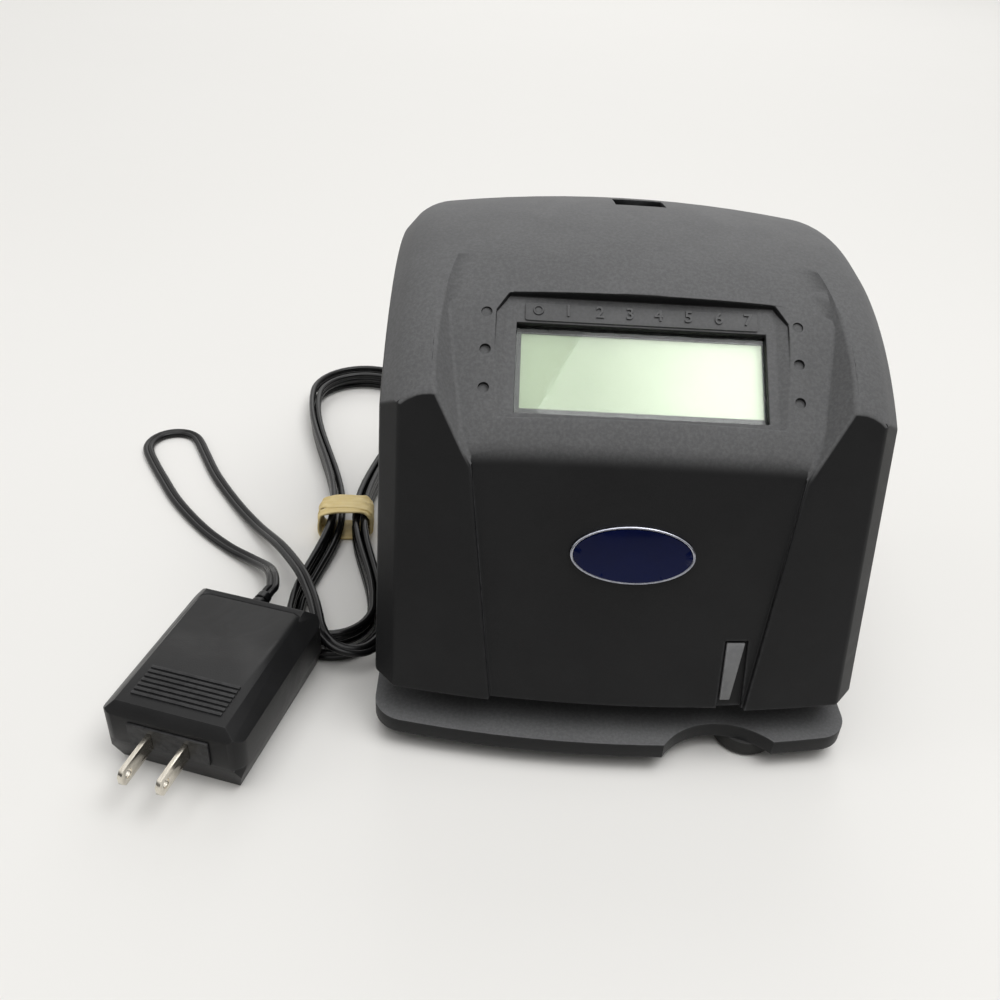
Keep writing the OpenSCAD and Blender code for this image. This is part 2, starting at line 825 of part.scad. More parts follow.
module print_mark() {
    color([0.42, 0.43, 0.44])
        on_mark()
            translate([0, 0, -mark_slot])
                linear_extrude(mark_t)
                    polygon([[-3, mark_low], [0.4, mark_low], [3, mark_high], [-3, mark_high]]);
}

// Lock

flange_t = 0.8;
flange_r = lock_r + 1.2;
nut_t = 4;
cam_z = pocket_z - lock_l - 0.3 - cam_t;
cam_half = 4;

module lock_housing() {
    color(bright_steel)
        translate([lock_x, lock_y, pocket_z])
            difference() {
                union() {
                    cylinder(h = flange_t, r = flange_r);
                    translate([0, 0, -lock_l])
                        cylinder(h = lock_l, r = lock_r);
                }
                translate([0, 0, -lock_l - 1])
                    cylinder(h = lock_l + flange_t + 2, r = plug_r + run_gap);
            }
}

module lock_nut() {
    color(dark_steel)
        translate([lock_x, lock_y, pocket_z - boss_t - nut_t])
            difference() {
                cylinder(h = nut_t, r = lock_r + 2.5, $fn = 6);
                translate([0, 0, -1])
                    cylinder(h = nut_t + 2, r = lock_r + fit_gap);
            }
}

module lock_cylinder() {
    color(bright_steel)
        translate([lock_x, lock_y, 0])
            difference() {
                union() {
                    translate([0, 0, cam_z + cam_t])
                        cylinder(h = pocket_z + flange_t - cam_z - cam_t, r = plug_r);
                    translate([0, 0, cam_z])
                        cylinder(h = cam_t, r = plug_r - 1.4);
                }
                block([-2.6, -0.6, pocket_z + flange_t - 6], [2.6, 0.6, pocket_z + flange_t + 1]);
            }
}

module lock_cam() {
    color(dark_steel)
        translate([lock_x, lock_y, cam_z])
            difference() {
                union() {
                    cylinder(h = cam_t, r = cam_half);
                    block([-cam_l, -cam_half, 0], [0, cam_half, cam_t]);
                }
                translate([0, 0, -1])
                    cylinder(h = cam_t + 2, r = plug_r - 1.4 + fit_gap);
            }
}

module lock_catch() {
    tongue_z = cam_z + cam_t + 0.5;
    color(dark_steel)
        translate([lock_x, 0, 0]) {
            block([-11, lock_y + lock_r + 1.6, tongue_z], [11, rear_in, tongue_z + cam_t]);
            block([-11, rear_in - 1.2, tongue_z - 12], [11, rear_in, tongue_z]);
        }
}

// Mechanism

gear_r = gear_m * gear_teeth / 2;
pinion_r = gear_m * pinion_teeth / 2;
mesh_gap = 0.12;
mesh_turn = 45;
motor_y = screw_y + (gear_r + pinion_r + mesh_gap) * cos(mesh_turn);
motor_z = axis_z + (gear_r + pinion_r + mesh_gap) * sin(mesh_turn);
gear_x = left_plate_x + 1.2;
bush_r = 5;
plate_front = guide_y1 - 6;
plate_back = guide_y2 + 8;
plate_tab = 5;
shaft_r = 1.5;
press_angle = 25;

// Involute gear outline with a tooth on the X axis
function roll_polar(t) = t - atan(t * PI / 180);
function tooth_half(n, t) = 90 / n - 0.6 * 15 / n + roll_polar(tan(press_angle) * 180 / PI) - roll_polar(t);
function polar(r, a) = [r * cos(a), r * sin(a)];
function gear_points(n) =
    let (rb = gear_m * n / 2 * cos(press_angle),
         ra = gear_m * n / 2 + 0.85 * gear_m,
         rf = gear_m * n / 2 - 1.15 * gear_m,
         ta = sqrt(pow(ra / rb, 2) - 1) * 180 / PI,
         t0 = rf > rb ? sqrt(pow(rf / rb, 2) - 1) * 180 / PI : 0,
         ts = [for (j = [0 : 5]) t0 + (ta - t0) * j / 5])
    [for (i = [0 : n - 1])
        let (a = i * 360 / n)
        each concat(
            [polar(rf, a - tooth_half(n, t0))],
            [for (t = ts) polar(rb * sqrt(1 + pow(t * PI / 180, 2)), a - tooth_half(n, t))],
            [for (j = [5 : -1 : 0]) polar(rb * sqrt(1 + pow(ts[j] * PI / 180, 2)), a + tooth_half(n, ts[j]))],
            [polar(rf, a + tooth_half(n, t0))])];

module frame_plate(x, side, with_motor) {
    color(dark_steel)
        difference() {
            union() {
                block([x, plate_front, deck_top], [x + plate_t, plate_back, deck_top + plate_h]);
                for (y = [plate_front, plate_back - 14])
                    block([min(x, x + side * plate_tab), y, deck_top],
                          [max(x + plate_t, x + side * plate_tab), y + 14, deck_top + plate_t]);
            }
            for (y = [guide_y1, guide_y2])
                rod(x - 1, x + plate_t + 1, y, axis_z, guide_r + fit_gap);
            rod(x - 1, x + plate_t + 1, screw_y, axis_z, bush_r + fit_gap);
            if (with_motor)
                rod(x - 1, x + plate_t + 1, motor_y, motor_z, shaft_r + 1);
        }
}

module left_frame_plate() {
    frame_plate(left_plate_x - plate_t, -1, true);
}

module right_frame_plate() {
    frame_plate(right_plate_x, 1, false);
}

module guide_shaft(y) {
    color(bright_steel)
        rod(left_plate_x - plate_t, right_plate_x + plate_t, y, axis_z, guide_r);
}

module screw_bushes() {
    color([0.7, 0.55, 0.25])
        for (x = [left_plate_x - plate_t, right_plate_x])
            difference() {
                rod(x, x + plate_t, screw_y, axis_z, bush_r);
                rod(x - 1, x + plate_t + 1, screw_y, axis_z, journal_r + run_gap);
            }
}

module lead_screw() {
    x0 = gear_x + gear_w + 1;
    x1 = right_plate_x - 1;
    color(bright_steel) {
        rod(left_plate_x - plate_t + 0.4, right_plate_x + plate_t + 0.3, screw_y, axis_z, journal_r);
        translate([x0, screw_y, axis_z])
            rotate([0, 90, 0])
                linear_extrude(x1 - x0, twist = 360 * (x1 - x0) / screw_lead, slices = 36)
                    polygon([for (i = [0 : 14]) polar(thread_r - 0.4 + 0.4 * cos(i * 72), i * 24)]);
    }
}

module screw_gear() {
    color([0.85, 0.85, 0.82])
        translate([gear_x, screw_y, axis_z])
            rotate([90, 0, 90])
                rotate([0, 0, mesh_turn])
                    linear_extrude(gear_w)
                        difference() {
                            polygon(gear_points(gear_teeth));
                            circle(journal_r + fit_gap);
                        }
}

module drive_motor() {
    x1 = left_plate_x - plate_t;
    color(dark_steel)
        difference() {
            union() {
                rod(x1 - motor_l, x1, motor_y, motor_z, motor_r);
                side_cut(x1 - 0.5, 1)
                    translate([motor_y, motor_z])
                        rotate([0, 0, mesh_turn + 90])
                            rounded(2 * motor_r + 12, 9, 4);
            }
            rod(x1 - 10, x1 + 1, motor_y, motor_z, shaft_r + run_gap);
        }
}

module motor_pinion() {
    color(bright_steel) {
        rod(left_plate_x - plate_t - 9, gear_x + gear_w, motor_y, motor_z, shaft_r);
        translate([gear_x, motor_y, motor_z])
            rotate([90, 0, 90])
                rotate([0, 0, mesh_turn + 180 + 180 / pinion_teeth])
                    linear_extrude(gear_w)
                        polygon(gear_points(pinion_teeth));
    }
}

carriage_top = axis_z + carriage_h / 2;

module print_carriage() {
    x0 = mark_x - carriage_w / 2;
    x1 = mark_x + carriage_w / 2;
    color([0.14, 0.14, 0.15])
        difference() {
            block([x0, guide_y1 - 6, axis_z - carriage_h / 2], [x1, guide_y2 + 6, carriage_top]);
            for (y = [guide_y1, guide_y2])
                rod(x0 - 1, x1 + 1, y, axis_z, guide_r + run_gap);
            rod(x0 - 1, x1 + 1, screw_y, axis_z, thread_r + 0.1);
            translate([mark_x, print_line, axis_z - carriage_h])
                cylinder(h = 2 * carriage_h, r = head_r + fit_gap);
        }
}

module print_head() {
    nose_z = deck_z + 0.5 + ribbon_t + 0.4;
    low_z = axis_z - carriage_h / 2 - 2;
    color([0.3, 0.31, 0.33])
        translate([mark_x, print_line, 0])
            difference() {
                union() {
                    translate([0, 0, low_z])
                        cylinder(h = carriage_top + head_up - low_z, r = head_r);
                    translate([0, 0, carriage_top])
                        cylinder(h = 2, r = head_r + 2);
                    block([-3.5, -4.5, nose_z], [3.5, 4.5, low_z]);
                }
                for (i = [0 : 1])
                    translate([0, 0, carriage_top + 3 + i * 2])
                        difference() {
                            cylinder(h = 1, r = head_r + 1);
                            translate([0, 0, -1])
                                cylinder(h = 3, r = head_r - 2.5);
                        }
            }
}

cassette_z = carriage_top + 13;
cassette_l = 2 * (spool_r + 4);
cassette_y = print_line - 4;
spool_spots = [cassette_x0 + spool_r + 5, cassette_x1 - spool_r - 5];
spindle_r = 2;

module ribbon_cassette() {
    color([0.1, 0.1, 0.11]) {
        difference() {
            block([cassette_x0, cassette_y - cassette_l / 2, cassette_z],
                  [cassette_x1, cassette_y + cassette_l / 2, cassette_z + cassette_h]);
            for (x = spool_spots)
                translate([x, cassette_y, cassette_z + 2])
                    cylinder(h = cassette_h, r = spool_r + 1);
        }
        for (x = spool_spots)
            translate([x, cassette_y, cassette_z + 1])
                cylinder(h = cassette_h - 1.5, r = spindle_r);
        for (x = [cassette_x0, cassette_x1 - leg_t])
            block([x, print_line - leg_w / 2, deck_z + 0.5], [x + leg_t, print_line + leg_w / 2, cassette_z]);
        block([left_plate_x, cassette_y - 6, cassette_z], [cassette_x0, cassette_y + 6, cassette_z + 4]);
        block([cassette_x1, cassette_y - 6, cassette_z], [right_plate_x, cassette_y + 6, cassette_z + 4]);
    }
}

module ribbon_spool(x) {
    color([0.08, 0.08, 0.3])
        translate([x, cassette_y, cassette_z + 2.3])
            difference() {
                cylinder(h = cassette_h - 3.5, r = spool_r);
                translate([0, 0, -1])
                    cylinder(h = cassette_h, r = spindle_r + run_gap);
                for (a = [0 : 60 : 300])
                    rotate([0, 0, a])
                        translate([6.5, 0, cassette_h - 5.5])
                            cylinder(h = 4, r = 1.6);
            }
}

module ribbon() {
    color([0.1, 0.05, 0.25])
        block([cassette_x0 + leg_t, print_line - ribbon_w / 2, deck_z + 0.5],
              [cassette_x1 - leg_t, print_line + ribbon_w / 2, deck_z + 0.5 + ribbon_t]);
}

// Display inside the case

lcd_top = -pod_t - lens_t - lens_gap;
board_top = lcd_top - lcd_t;
tray_t = 2;
tray_top = board_top - board_t;
tray_half = deck_half - 1.2;
bracket_t = 2;
board_half = 60;
tray_l = 40;
key_x = 55;
key_step = 10;
key_travel = 0.6;
stem_r = 1.5;

module display_bracket() {
    leg_y = window_pt[0] + 9;
    leg_y2 = leg_y + 16;
    mid = window_pt + (tray_top - tray_t / 2) * [-sin(recess_slope), cos(recess_slope)];
    color([0.2, 0.2, 0.21]) {
        on_display(tray_top - tray_t)
            linear_extrude(tray_t)
                square([2 * tray_half, tray_l], center = true);
        for (sx = [-1, 1])
            side_cut(sx * (tray_half - 0.5 - bracket_t / 2), bracket_t)
                polygon([[leg_y, deck_top], [leg_y2, deck_top],
                         [leg_y2, mid[1] + (leg_y2 - mid[0]) * tan(recess_slope)],
                         [leg_y, mid[1] + (leg_y - mid[0]) * tan(recess_slope)]]);
    }
}

module display_board() {
    color(board_green)
        on_display(tray_top)
            linear_extrude(board_t)
                difference() {
                    square([2 * board_half, window_l + 6], center = true);
                    for (i = [1 : 3])
                        translate([key_x, (i - 2) * key_step])
                            circle(stem_r + run_gap);
                }
}

module lcd_panel() {
    color([0.72, 0.76, 0.7])
        on_display(board_top)
            linear_extrude(lcd_t)
                square([window_w + 8, window_l + 6], center = true);
}

module set_key(i) {
    color([0.8, 0.8, 0.78])
        on_display(board_top)
            translate([key_x, (i - 2) * key_step, 0]) {
                translate([0, 0, key_travel + seat_gap])
                    cylinder(h = key_h, d = key_d);
                translate([0, 0, -board_t + key_travel + 0.1])
                    cylinder(h = board_t + seat_gap, r = stem_r);
            }
}

// Rear board and what is on it

board_y = rear_in - web_t - 12;
main_half = 62;
main_h = 86;

module main_board() {
    color(board_green)
        block([-main_half, board_y - board_t, deck_top], [main_half, board_y, deck_top + main_h]);
}

module dc_socket() {
    color([0.08, 0.08, 0.08])
        difference() {
            block([socket_x - socket_w / 2, board_y, socket_z - socket_h / 2],
                  [socket_x + socket_w / 2, rear_in, socket_z + socket_h / 2]);
            translate([socket_x, rear_in + 1, socket_z])
                rotate([90, 0, 0])
                    difference() {
                        cylinder(h = dc_barrel_l - rear_t + 2, r = dc_barrel_r + 0.2);
                        cylinder(h = dc_barrel_l, r = dc_bore_r - 0.2);
                    }
        }
}

module backup_battery() {
    color(bright_steel)
        translate([30, board_y - board_t, deck_top + 50])
            rotate([90, 0, 0])
                cylinder(h = 6, r = 11);
}

module sounder() {
    color([0.07, 0.07, 0.07])
        translate([-22, board_y - board_t, deck_top + 58])
            rotate([90, 0, 0])
                difference() {
                    cylinder(h = 8, r = 6);
                    translate([0, 0, 6])
                        cylinder(h = 4, r = 1);
                }
}

module card_switch() {
    ear_in = lever_w / 2 + 0.4;
    ear_out = ear_in + 2;
    ear_top = lever_z + 3.5;
    color([0.15, 0.15, 0.3]) {
        for (side = [0, 1])
            translate([lever_x, 0, 0])
                mirror([side, 0, 0])
                    block([ear_in, lever_y - 4, deck_top], [ear_out, lever_y + 11, ear_top]);
        block([lever_x - ear_out, lever_y + 9, deck_top], [lever_x + ear_out, lever_y + 13, ear_top]);
        rod(lever_x - ear_in - 1, lever_x + ear_in + 1, lever_y, lever_z, lever_pin_r);
    }
}

module card_lever() {
    color([0.85, 0.85, 0.82])
        difference() {
            union() {
                rod(lever_x - lever_w / 2, lever_x + lever_w / 2, lever_y, lever_z, lever_r);
                block([lever_x - lever_w / 2, lever_y - 1.5, lever_tip_z],
                      [lever_x + lever_w / 2, lever_y + 1.5, lever_z]);
            }
            rod(lever_x - lever_w, lever_x + lever_w, lever_y, lever_z, lever_pin_r + run_gap);
        }
}

// Adapter

adapter_turn = -15;
relief_x = -6;
relief_z = 13;
relief_r = 4;
relief_end_r = 2.6;
relief_end = [-127, -9];
bevel_top = 5.5;
ad_taper = 3.5;

module on_adapter() {
    translate([relief_end[0], relief_end[1], 0])
        rotate([0, 0, adapter_turn])
            translate([-relief_x, -ad_l / 2 - relief_l, 0])
                children();
}

module adapter_form(inset) {
    w = ad_w / 2 - inset;
    l = ad_l / 2 - inset;
    top = ad_h - inset;
    intersection() {
        rotate([90, 0, 0])
            linear_extrude(2 * ad_l, center = true)
                polygon([[-w + ad_taper, inset], [w - ad_taper, inset], [w, ad_split], [w, top - bevel_top],
                         [w - bevel_top, top], [-w + bevel_top, top], [-w, top - bevel_top], [-w, ad_split]]);
        side_cut(0, 2 * ad_w)
            polygon([[-l + ad_taper, inset], [l - 2, inset], [l, ad_split], [l, top - bevel_top + 1],
                     [l - 4, top], [-l + 2.5, top], [-l, top - bevel_top + 1], [-l, ad_split]]);
        linear_extrude(far)
            rounded(2 * w, 2 * l, 5 - inset);
    }
}

blade_z = ad_split + 4.7;
seat_half = 14;
seat_low = ad_split + 0.6;
seat_high = ad_split + 10;
seat_t = 0.8;

module adapter_holes() {
    hole_w = blade_t + 2 * fit_gap;
    hole_h = blade_h + 2 * fit_gap;
    for (sx = [-1, 1])
        translate([sx * blade_gap / 2 - hole_w / 2, -ad_l / 2 - 5, blade_z - hole_h / 2])
            cube([hole_w, 5 + ad_wall + 1, hole_h]);
}

module adapter_top_shell() {
    ridges = 7;
    ridge_step = 2;
    color([0.07, 0.07, 0.07])
        on_adapter() {
            difference() {
                adapter_form(0);
                adapter_form(ad_wall);
                block([-far, -far, -1], [far, far, ad_split]);
                adapter_holes();
            }
            for (i = [0 : ridges - 1])
                translate([-15.7, -ad_l / 2 + 6.2 + i * ridge_step, ad_h])
                    cube([31.4, 1.1, 0.6]);
        }
}

module adapter_bottom_shell() {
    color([0.07, 0.07, 0.07])
        on_adapter()
            difference() {
                adapter_form(0);
                adapter_form(ad_wall);
                block([-far, -far, ad_split], [far, far, far]);
            }
}

module blade_seat() {
    color([0.09, 0.09, 0.09])
        on_adapter()
            difference() {
                block([-seat_half, -ad_l / 2 - seat_t, seat_low], [seat_half, -ad_l / 2, seat_high]);
                adapter_holes();
            }
}

module plug_blades() {
    root = -ad_l / 2 + ad_wall + 3;
    tip = -ad_l / 2 - seat_t - blade_l;
    color([0.8, 0.78, 0.72])
        on_adapter()
            for (sx = [-1, 1])
                translate([sx * blade_gap / 2 - blade_t / 2, 0, blade_z])
                    side_cut(blade_t / 2, blade_t)
                        difference() {
                            polygon([[root, -blade_h / 2], [root, blade_h / 2], [tip + 1.5, blade_h / 2],
                                     [tip, blade_h / 2 - 1.8], [tip, -blade_h / 2 + 1.8],
                                     [tip + 1.5, -blade_h / 2]]);
                            translate([tip + 3.6, 0])
                                circle(1.6);
                        }
}

module adapter_transformer() {
    color([0.55, 0.45, 0.2])
        on_adapter()
            block([-14, -12, ad_wall], [14, 16, ad_h - ad_wall - 2]);
}

module adapter_relief() {
    color([0.05, 0.05, 0.05])
        on_adapter()
            translate([relief_x, ad_l / 2, relief_z])
                rotate([-90, 0, 0])
                    difference() {
                        cylinder(h = relief_l, r1 = relief_r, r2 = relief_end_r);
                        for (i = [1 : 3])
                            translate([0, 0, i * relief_l / 4.5])
                                difference() {
                                    cylinder(h = 1, r = relief_r + 1);
                                    translate([0, 0, -1])
                                        cylinder(h = 3, r = relief_end_r - 0.4);
                                }
                    }
}

// Plug at the clock

dc_barrel_r = 2.75;
dc_bore_r = 1.25;
dc_barrel_l = 11;
dc_grip_r = 5;
dc_grip_l = 22;
dc_tail_l = 10;
dc_end_y = back_y + 1.5 + dc_grip_l + dc_tail_l;

module dc_plug() {
    color([0.06, 0.06, 0.06])
        translate([socket_x, back_y + 1.5, socket_z])
            rotate([-90, 0, 0]) {
                cylinder(h = dc_grip_l, r = dc_grip_r);
                translate([0, 0, dc_grip_l])
                    cylinder(h = dc_tail_l, r1 = 3.6, r2 = lead_w / 2 + 0.1);
                translate([0, 0, -1.5 - dc_barrel_l])
                    difference() {
                        cylinder(h = dc_barrel_l + 1.5, r = dc_barrel_r);
                        translate([0, 0, -1])
                            cylinder(h = dc_barrel_l, r = dc_bore_r);
                    }
            }
}

// Lead

lift = lead_w / 2 + 0.1;

// The large loop from the adapter to the hank, chosen by hand
loop_route = [
    [-127.3, 5, 11.8], [-131.5, 14.5, 7.8], [-140.5, 24.5, 3.8],
    [-152.5, 34.5, 1.8], [-166.5, 47.5, 1.45], [-182, 66, 1.45], [-194, 84.5, 1.45], [-201, 96, 1.45],
    [-205.7, 104.5, 1.45], [-207.9, 110.5, 1.45], [-207.6, 116.5, 1.45], [-204.6, 121.6, 1.45],
    [-199.5, 124.6, 1.45], [-193.5, 124.6, 1.45], [-188.4, 121.6, 1.45], [-184.6, 116, 1.45],
    [-180, 107, 1.45], [-170, 88, 1.45], [-156, 66.5, 1.8], [-142.5, 47.5, 3.8], [-128.5, 27.5, 9],
    [-117, 7.5, 13.2], [-111.5, -4, 13.2], [-108.5, -11.5, 13.2], [-106.2, -18.5, 13.2],
    [-104.2, -24.8, 13], [-101.2, -29.8, 12], [-96.4, -32.8, 10.4], [-91, -33.1, 9.2],
    [-86.2, -31.1, 8.6], [-83.2, -27.1, 8.3]
];
// From the clock's plug down to the floor and round to the hank, chosen by hand
tail_route = [
    [-46, 119, 35], [-46, 131, 28], [-48, 143, 18], [-53, 155, 9], [-61.5, 161.5, 4], [-71, 159.5, 2.2],
    [-78.3, 151, 2.2], [-82.6, 139.5, 2.4]
];

// A smooth curve through the points p, with n steps between neighbours
function curve(p, n) = [for (i = [0 : len(p) - 2], j = [0 : n - 1])
    let (t = j / n, a = p[max(i - 1, 0)], b = p[i], c = p[i + 1], d = p[min(i + 2, len(p) - 1)])
    0.5 * (2 * b + (c - a) * t + (2 * a - 5 * b + 4 * c - d) * t * t + (3 * b - a - 3 * c + d) * t * t * t)];

function ease(t) = let (s = min(max(t, 0), 1)) s * s * (3 - 2 * s);

// A tube of k sides along the points p. roll turns its wide side from flat, 0, to on edge, 90
module lead_tube(p, roll, k) {
    n = len(p);
    rings = [for (i = [0 : n - 1])
        let (t = unit(p[min(i + 1, n - 1)] - p[max(i - 1, 0)]),
             s = unit(cross(t, [0, 0, 1])),
             u = cross(s, t))
        for (j = [0 : k - 1])
            let (a = 360 * (j + 0.5) / k, x = lead_w / 2 * cos(a), y = lead_t / 2 * sin(a))
            p[i] + s * (x * cos(roll[i]) - y * sin(roll[i])) + u * (x * sin(roll[i]) + y * cos(roll[i]))];
    sides = [for (i = [0 : n - 2], j = [0 : k - 1])
        let (a = i * k + j, b = i * k + (j + 1) % k)
        each [[a, a + k, b], [b, a + k, b + k]]];
    caps = [for (j = [1 : k - 2]) each [[0, j, j + 1], [(n - 1) * k, (n - 1) * k + j + 1, (n - 1) * k + j]]];
    color([0.03, 0.03, 0.03])
        polyhedron(rings, concat(sides, caps));
}

// Hank: its loops spiral in on top, drop along a run and spiral out on the floor
hank_mid = [-106.2, 80];
hank_tilt = 2.9;
hank_half = 112;
lobe_low = 18.6;
lobe_high = 28;
lobe_step = 3.6;
end_step = 8;
waist_half = 8.2;
waist_step = 3.8;
waist_u = -28;
layer_step = lead_w + 0.7;
hank_start = 0.25;
turn_back = 1.875;
loop_rings = 32;
hank_count = 102;
band_w = 11;
band_t = 1.1;
band_rise = 24;

function hank_inset(f) = turn_back - hank_start - abs(f - turn_back);

// The loop's radius and its middle's distance at the lower end, side -1, or the upper end, side 1
function lobe(side, k) = (side < 0 ? lobe_low : lobe_high) - lobe_step * k;
function reach(side, k) = hank_half - end_step * k - lobe(side, k);

// Half the width across the runs at u along the hank
function run_half(u, k) =
    let (side = u < waist_u ? -1 : 1,
         low = waist_half - waist_step * k,
         t = min(1, abs(u - waist_u) / (reach(side, k) - side * waist_u)))
    low + (lobe(side, k) - low) * pow(sin(90 * t), 2);

function hank_flat(f) =
    let (q = f - floor(f),
         k = hank_inset(f),
         s = 4 * q - floor(4 * q),
         low = reach(-1, k),
         high = reach(1, k),
         u = q < 0.5 ? -low + s * (low + high) : high - s * (low + high))
    q < 0.25 ? [lobe(-1, k) * cos(180 + 180 * s), -low + lobe(-1, k) * sin(180 + 180 * s)] :
    q < 0.5 ? [run_half(u, k), u] :
    q < 0.75 ? [lobe(1, k) * cos(180 * s), high + lobe(1, k) * sin(180 * s)] :
    [-run_half(u, k), u];

function hank_at(f) =
    let (p = hank_flat(f),
         climb = layer_step * ease((turn_back + 0.125 - f) / 0.25),
         over_band = (band_t + 0.3) * exp(-pow((p[1] - waist_u) / band_rise, 2)))
    [hank_mid[0] + p[0] * cos(hank_tilt) - p[1] * sin(hank_tilt),
     hank_mid[1] + p[0] * sin(hank_tilt) + p[1] * cos(hank_tilt),
     lift + climb + over_band];

hank_loops = [for (i = [0 : hank_count]) hank_at(hank_start + i / loop_rings * 0.999999)];
hank_in = hank_loops[0] + lead_w * unit(hank_loops[0] - hank_loops[1]);
hank_out = hank_loops[hank_count] + lead_w * unit(hank_loops[hank_count] - hank_loops[hank_count - 1]);
hank_points = concat([hank_in], hank_loops, [hank_out]);

// The least gap between strands that are a third of a loop or more apart, side by side or stacked
function strand_gap(a, b) = max(norm([a[0] - b[0], a[1] - b[1]]) - lead_t, abs(a[2] - b[2]) - lead_w);
hank_last = len(hank_points) - 1;
hank_gap = min([for (i = [0 : hank_last], j = [i + 10 : 1 : hank_last])
    strand_gap(hank_points[i], hank_points[j])]);
echo(hank_gap = hank_gap);

// The loop's ends run straight out of the relief and into the hank
relief_way = [-sin(adapter_turn), cos(adapter_turn), 0];
loop_start = [for (d = [0, 3, 6]) [relief_end[0], relief_end[1], relief_z] + d * relief_way];
loop_end = [for (d = [6, 3, 0]) hank_in + d * unit(hank_in - hank_loops[0])];

module lead_to_adapter() {
    p = concat(curve(concat(loop_start, loop_route, loop_end), 2), [hank_in]);
    n = len(p) - 1;
    lead_tube(p, [for (i = [0 : n]) 90 * ease((i - n + 13) / 12)], 8);
}

module lead_hank() {
    lead_tube(hank_points, [for (p = hank_points) 90], 6);
}

module lead_to_clock() {
    start = [socket_x, dc_end_y, socket_z];
    p = concat(curve(concat([start], tail_route, [hank_out]), 2), [hank_out]);
    n = len(p) - 1;
    lead_tube(p, [for (i = [0 : n]) 90 * ease((i - n + 6) / 5)], 8);
}

module hank_band() {
    in_w = 2 * waist_half + lead_t + 0.8;
    in_h = layer_step + lead_w + 1.2;
    color([0.82, 0.72, 0.46])
        translate([hank_mid[0], hank_mid[1], in_h / 2 + band_t])
            rotate([0, 0, hank_tilt])
                translate([0, waist_u, 0])
                    rotate([90, 0, 0])
                        linear_extrude(band_w, center = true)
                            difference() {
                                rounded(in_w + 2 * band_t, in_h + 2 * band_t, 2.3);
                                rounded(in_w, in_h, 1.2);
                            }
}

base_plate();
rubber_feet();
base_screws();
platen_pad();
chassis_deck();
rear_cover();
rear_screws();
left_frame_plate();
right_frame_plate();
guide_shaft(guide_y1);  // front_guide_shaft
guide_shaft(guide_y2);  // rear_guide_shaft
screw_bushes();
lead_screw();
screw_gear();
drive_motor();
motor_pinion();
print_carriage();
print_head();
ribbon_cassette();
ribbon_spool(spool_spots[0]);  // feed_spool
ribbon_spool(spool_spots[1]);  // take_up_spool
ribbon();
display_bracket();
display_board();
lcd_panel();
set_key(1);  // set_key_1
set_key(2);  // set_key_2
set_key(3);  // set_key_3
main_board();
dc_socket();
backup_battery();
sounder();
card_switch();
card_lever();
lock_catch();
upper_case();
display_lens();
day_strip();
badge_rim();
badge_dome();
print_mark();
lock_housing();
lock_nut();
lock_cylinder();
lock_cam();
adapter_top_shell();
adapter_bottom_shell();
blade_seat();
plug_blades();
adapter_transformer();
adapter_relief();
lead_to_adapter();
lead_hank();
hank_band();
lead_to_clock();
dc_plug();
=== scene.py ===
import json
import math

import bmesh
import bpy
from mathutils import Matrix, Vector, noise


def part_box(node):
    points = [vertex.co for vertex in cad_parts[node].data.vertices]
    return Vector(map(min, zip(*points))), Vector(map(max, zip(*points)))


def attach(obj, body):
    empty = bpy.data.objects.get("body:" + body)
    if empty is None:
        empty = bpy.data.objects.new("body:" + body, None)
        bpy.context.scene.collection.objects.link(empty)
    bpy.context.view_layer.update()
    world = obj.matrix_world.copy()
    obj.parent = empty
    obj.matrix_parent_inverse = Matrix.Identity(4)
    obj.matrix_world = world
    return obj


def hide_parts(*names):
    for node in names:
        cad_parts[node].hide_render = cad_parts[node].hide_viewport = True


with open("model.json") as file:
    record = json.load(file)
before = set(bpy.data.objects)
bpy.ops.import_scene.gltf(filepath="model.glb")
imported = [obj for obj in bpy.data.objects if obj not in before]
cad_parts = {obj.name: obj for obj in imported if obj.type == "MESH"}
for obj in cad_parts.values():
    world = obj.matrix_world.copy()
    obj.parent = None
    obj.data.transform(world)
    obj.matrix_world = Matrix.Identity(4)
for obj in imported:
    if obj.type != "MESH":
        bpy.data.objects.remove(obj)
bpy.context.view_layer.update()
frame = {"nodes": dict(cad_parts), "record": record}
scene = bpy.context.scene
scene.view_settings.view_transform = "Standard"
nodes = frame["nodes"]
made = []  # every finished piece with its slot
print("frame loaded:", len(nodes), "nodes")


def clearSelection():
    if bpy.context.object and bpy.context.object.mode != "OBJECT":
        bpy.ops.object.mode_set(mode="OBJECT")
    bpy.ops.object.select_all(action="DESELECT")


def makeActive(piece):
    clearSelection()
    piece.select_set(True)
    bpy.context.view_layer.objects.active = piece


def applyModifier(piece, kind, **values):
    makeActive(piece)
    bpy.ops.object.modifier_add(type=kind)
    modifier = piece.modifiers[-1]
    for key, value in values.items():
        setattr(modifier, key, value)
    bpy.ops.object.modifier_apply(modifier=modifier.name)


def placeInMesh(piece):
    makeActive(piece)
    bpy.ops.object.transform_apply(location=True, rotation=True, scale=True)


def smoothByAngle(piece, degrees):
    makeActive(piece)
    bpy.ops.object.shade_smooth_by_angle(angle=math.radians(degrees))


def faceOutward(piece):
    makeActive(piece)
    bpy.ops.object.mode_set(mode="EDIT")
    bpy.ops.mesh.select_all(action="SELECT")
    bpy.ops.mesh.normals_make_consistent(inside=False)
    bpy.ops.object.mode_set(mode="OBJECT")


def settle(piece, body, slot, replaced=()):
    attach(piece, body)
    if replaced:
        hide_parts(*replaced)
    made.append((piece, slot))


def bodyOf(nodeName):
    return next(body for body, names in frame["record"]["behaviour"]["bodies"].items() if nodeName in names)


def slotOf(nodeName):
    return next(row["material_slot"] for row in frame["record"]["subparts"] if row["node"] == nodeName)


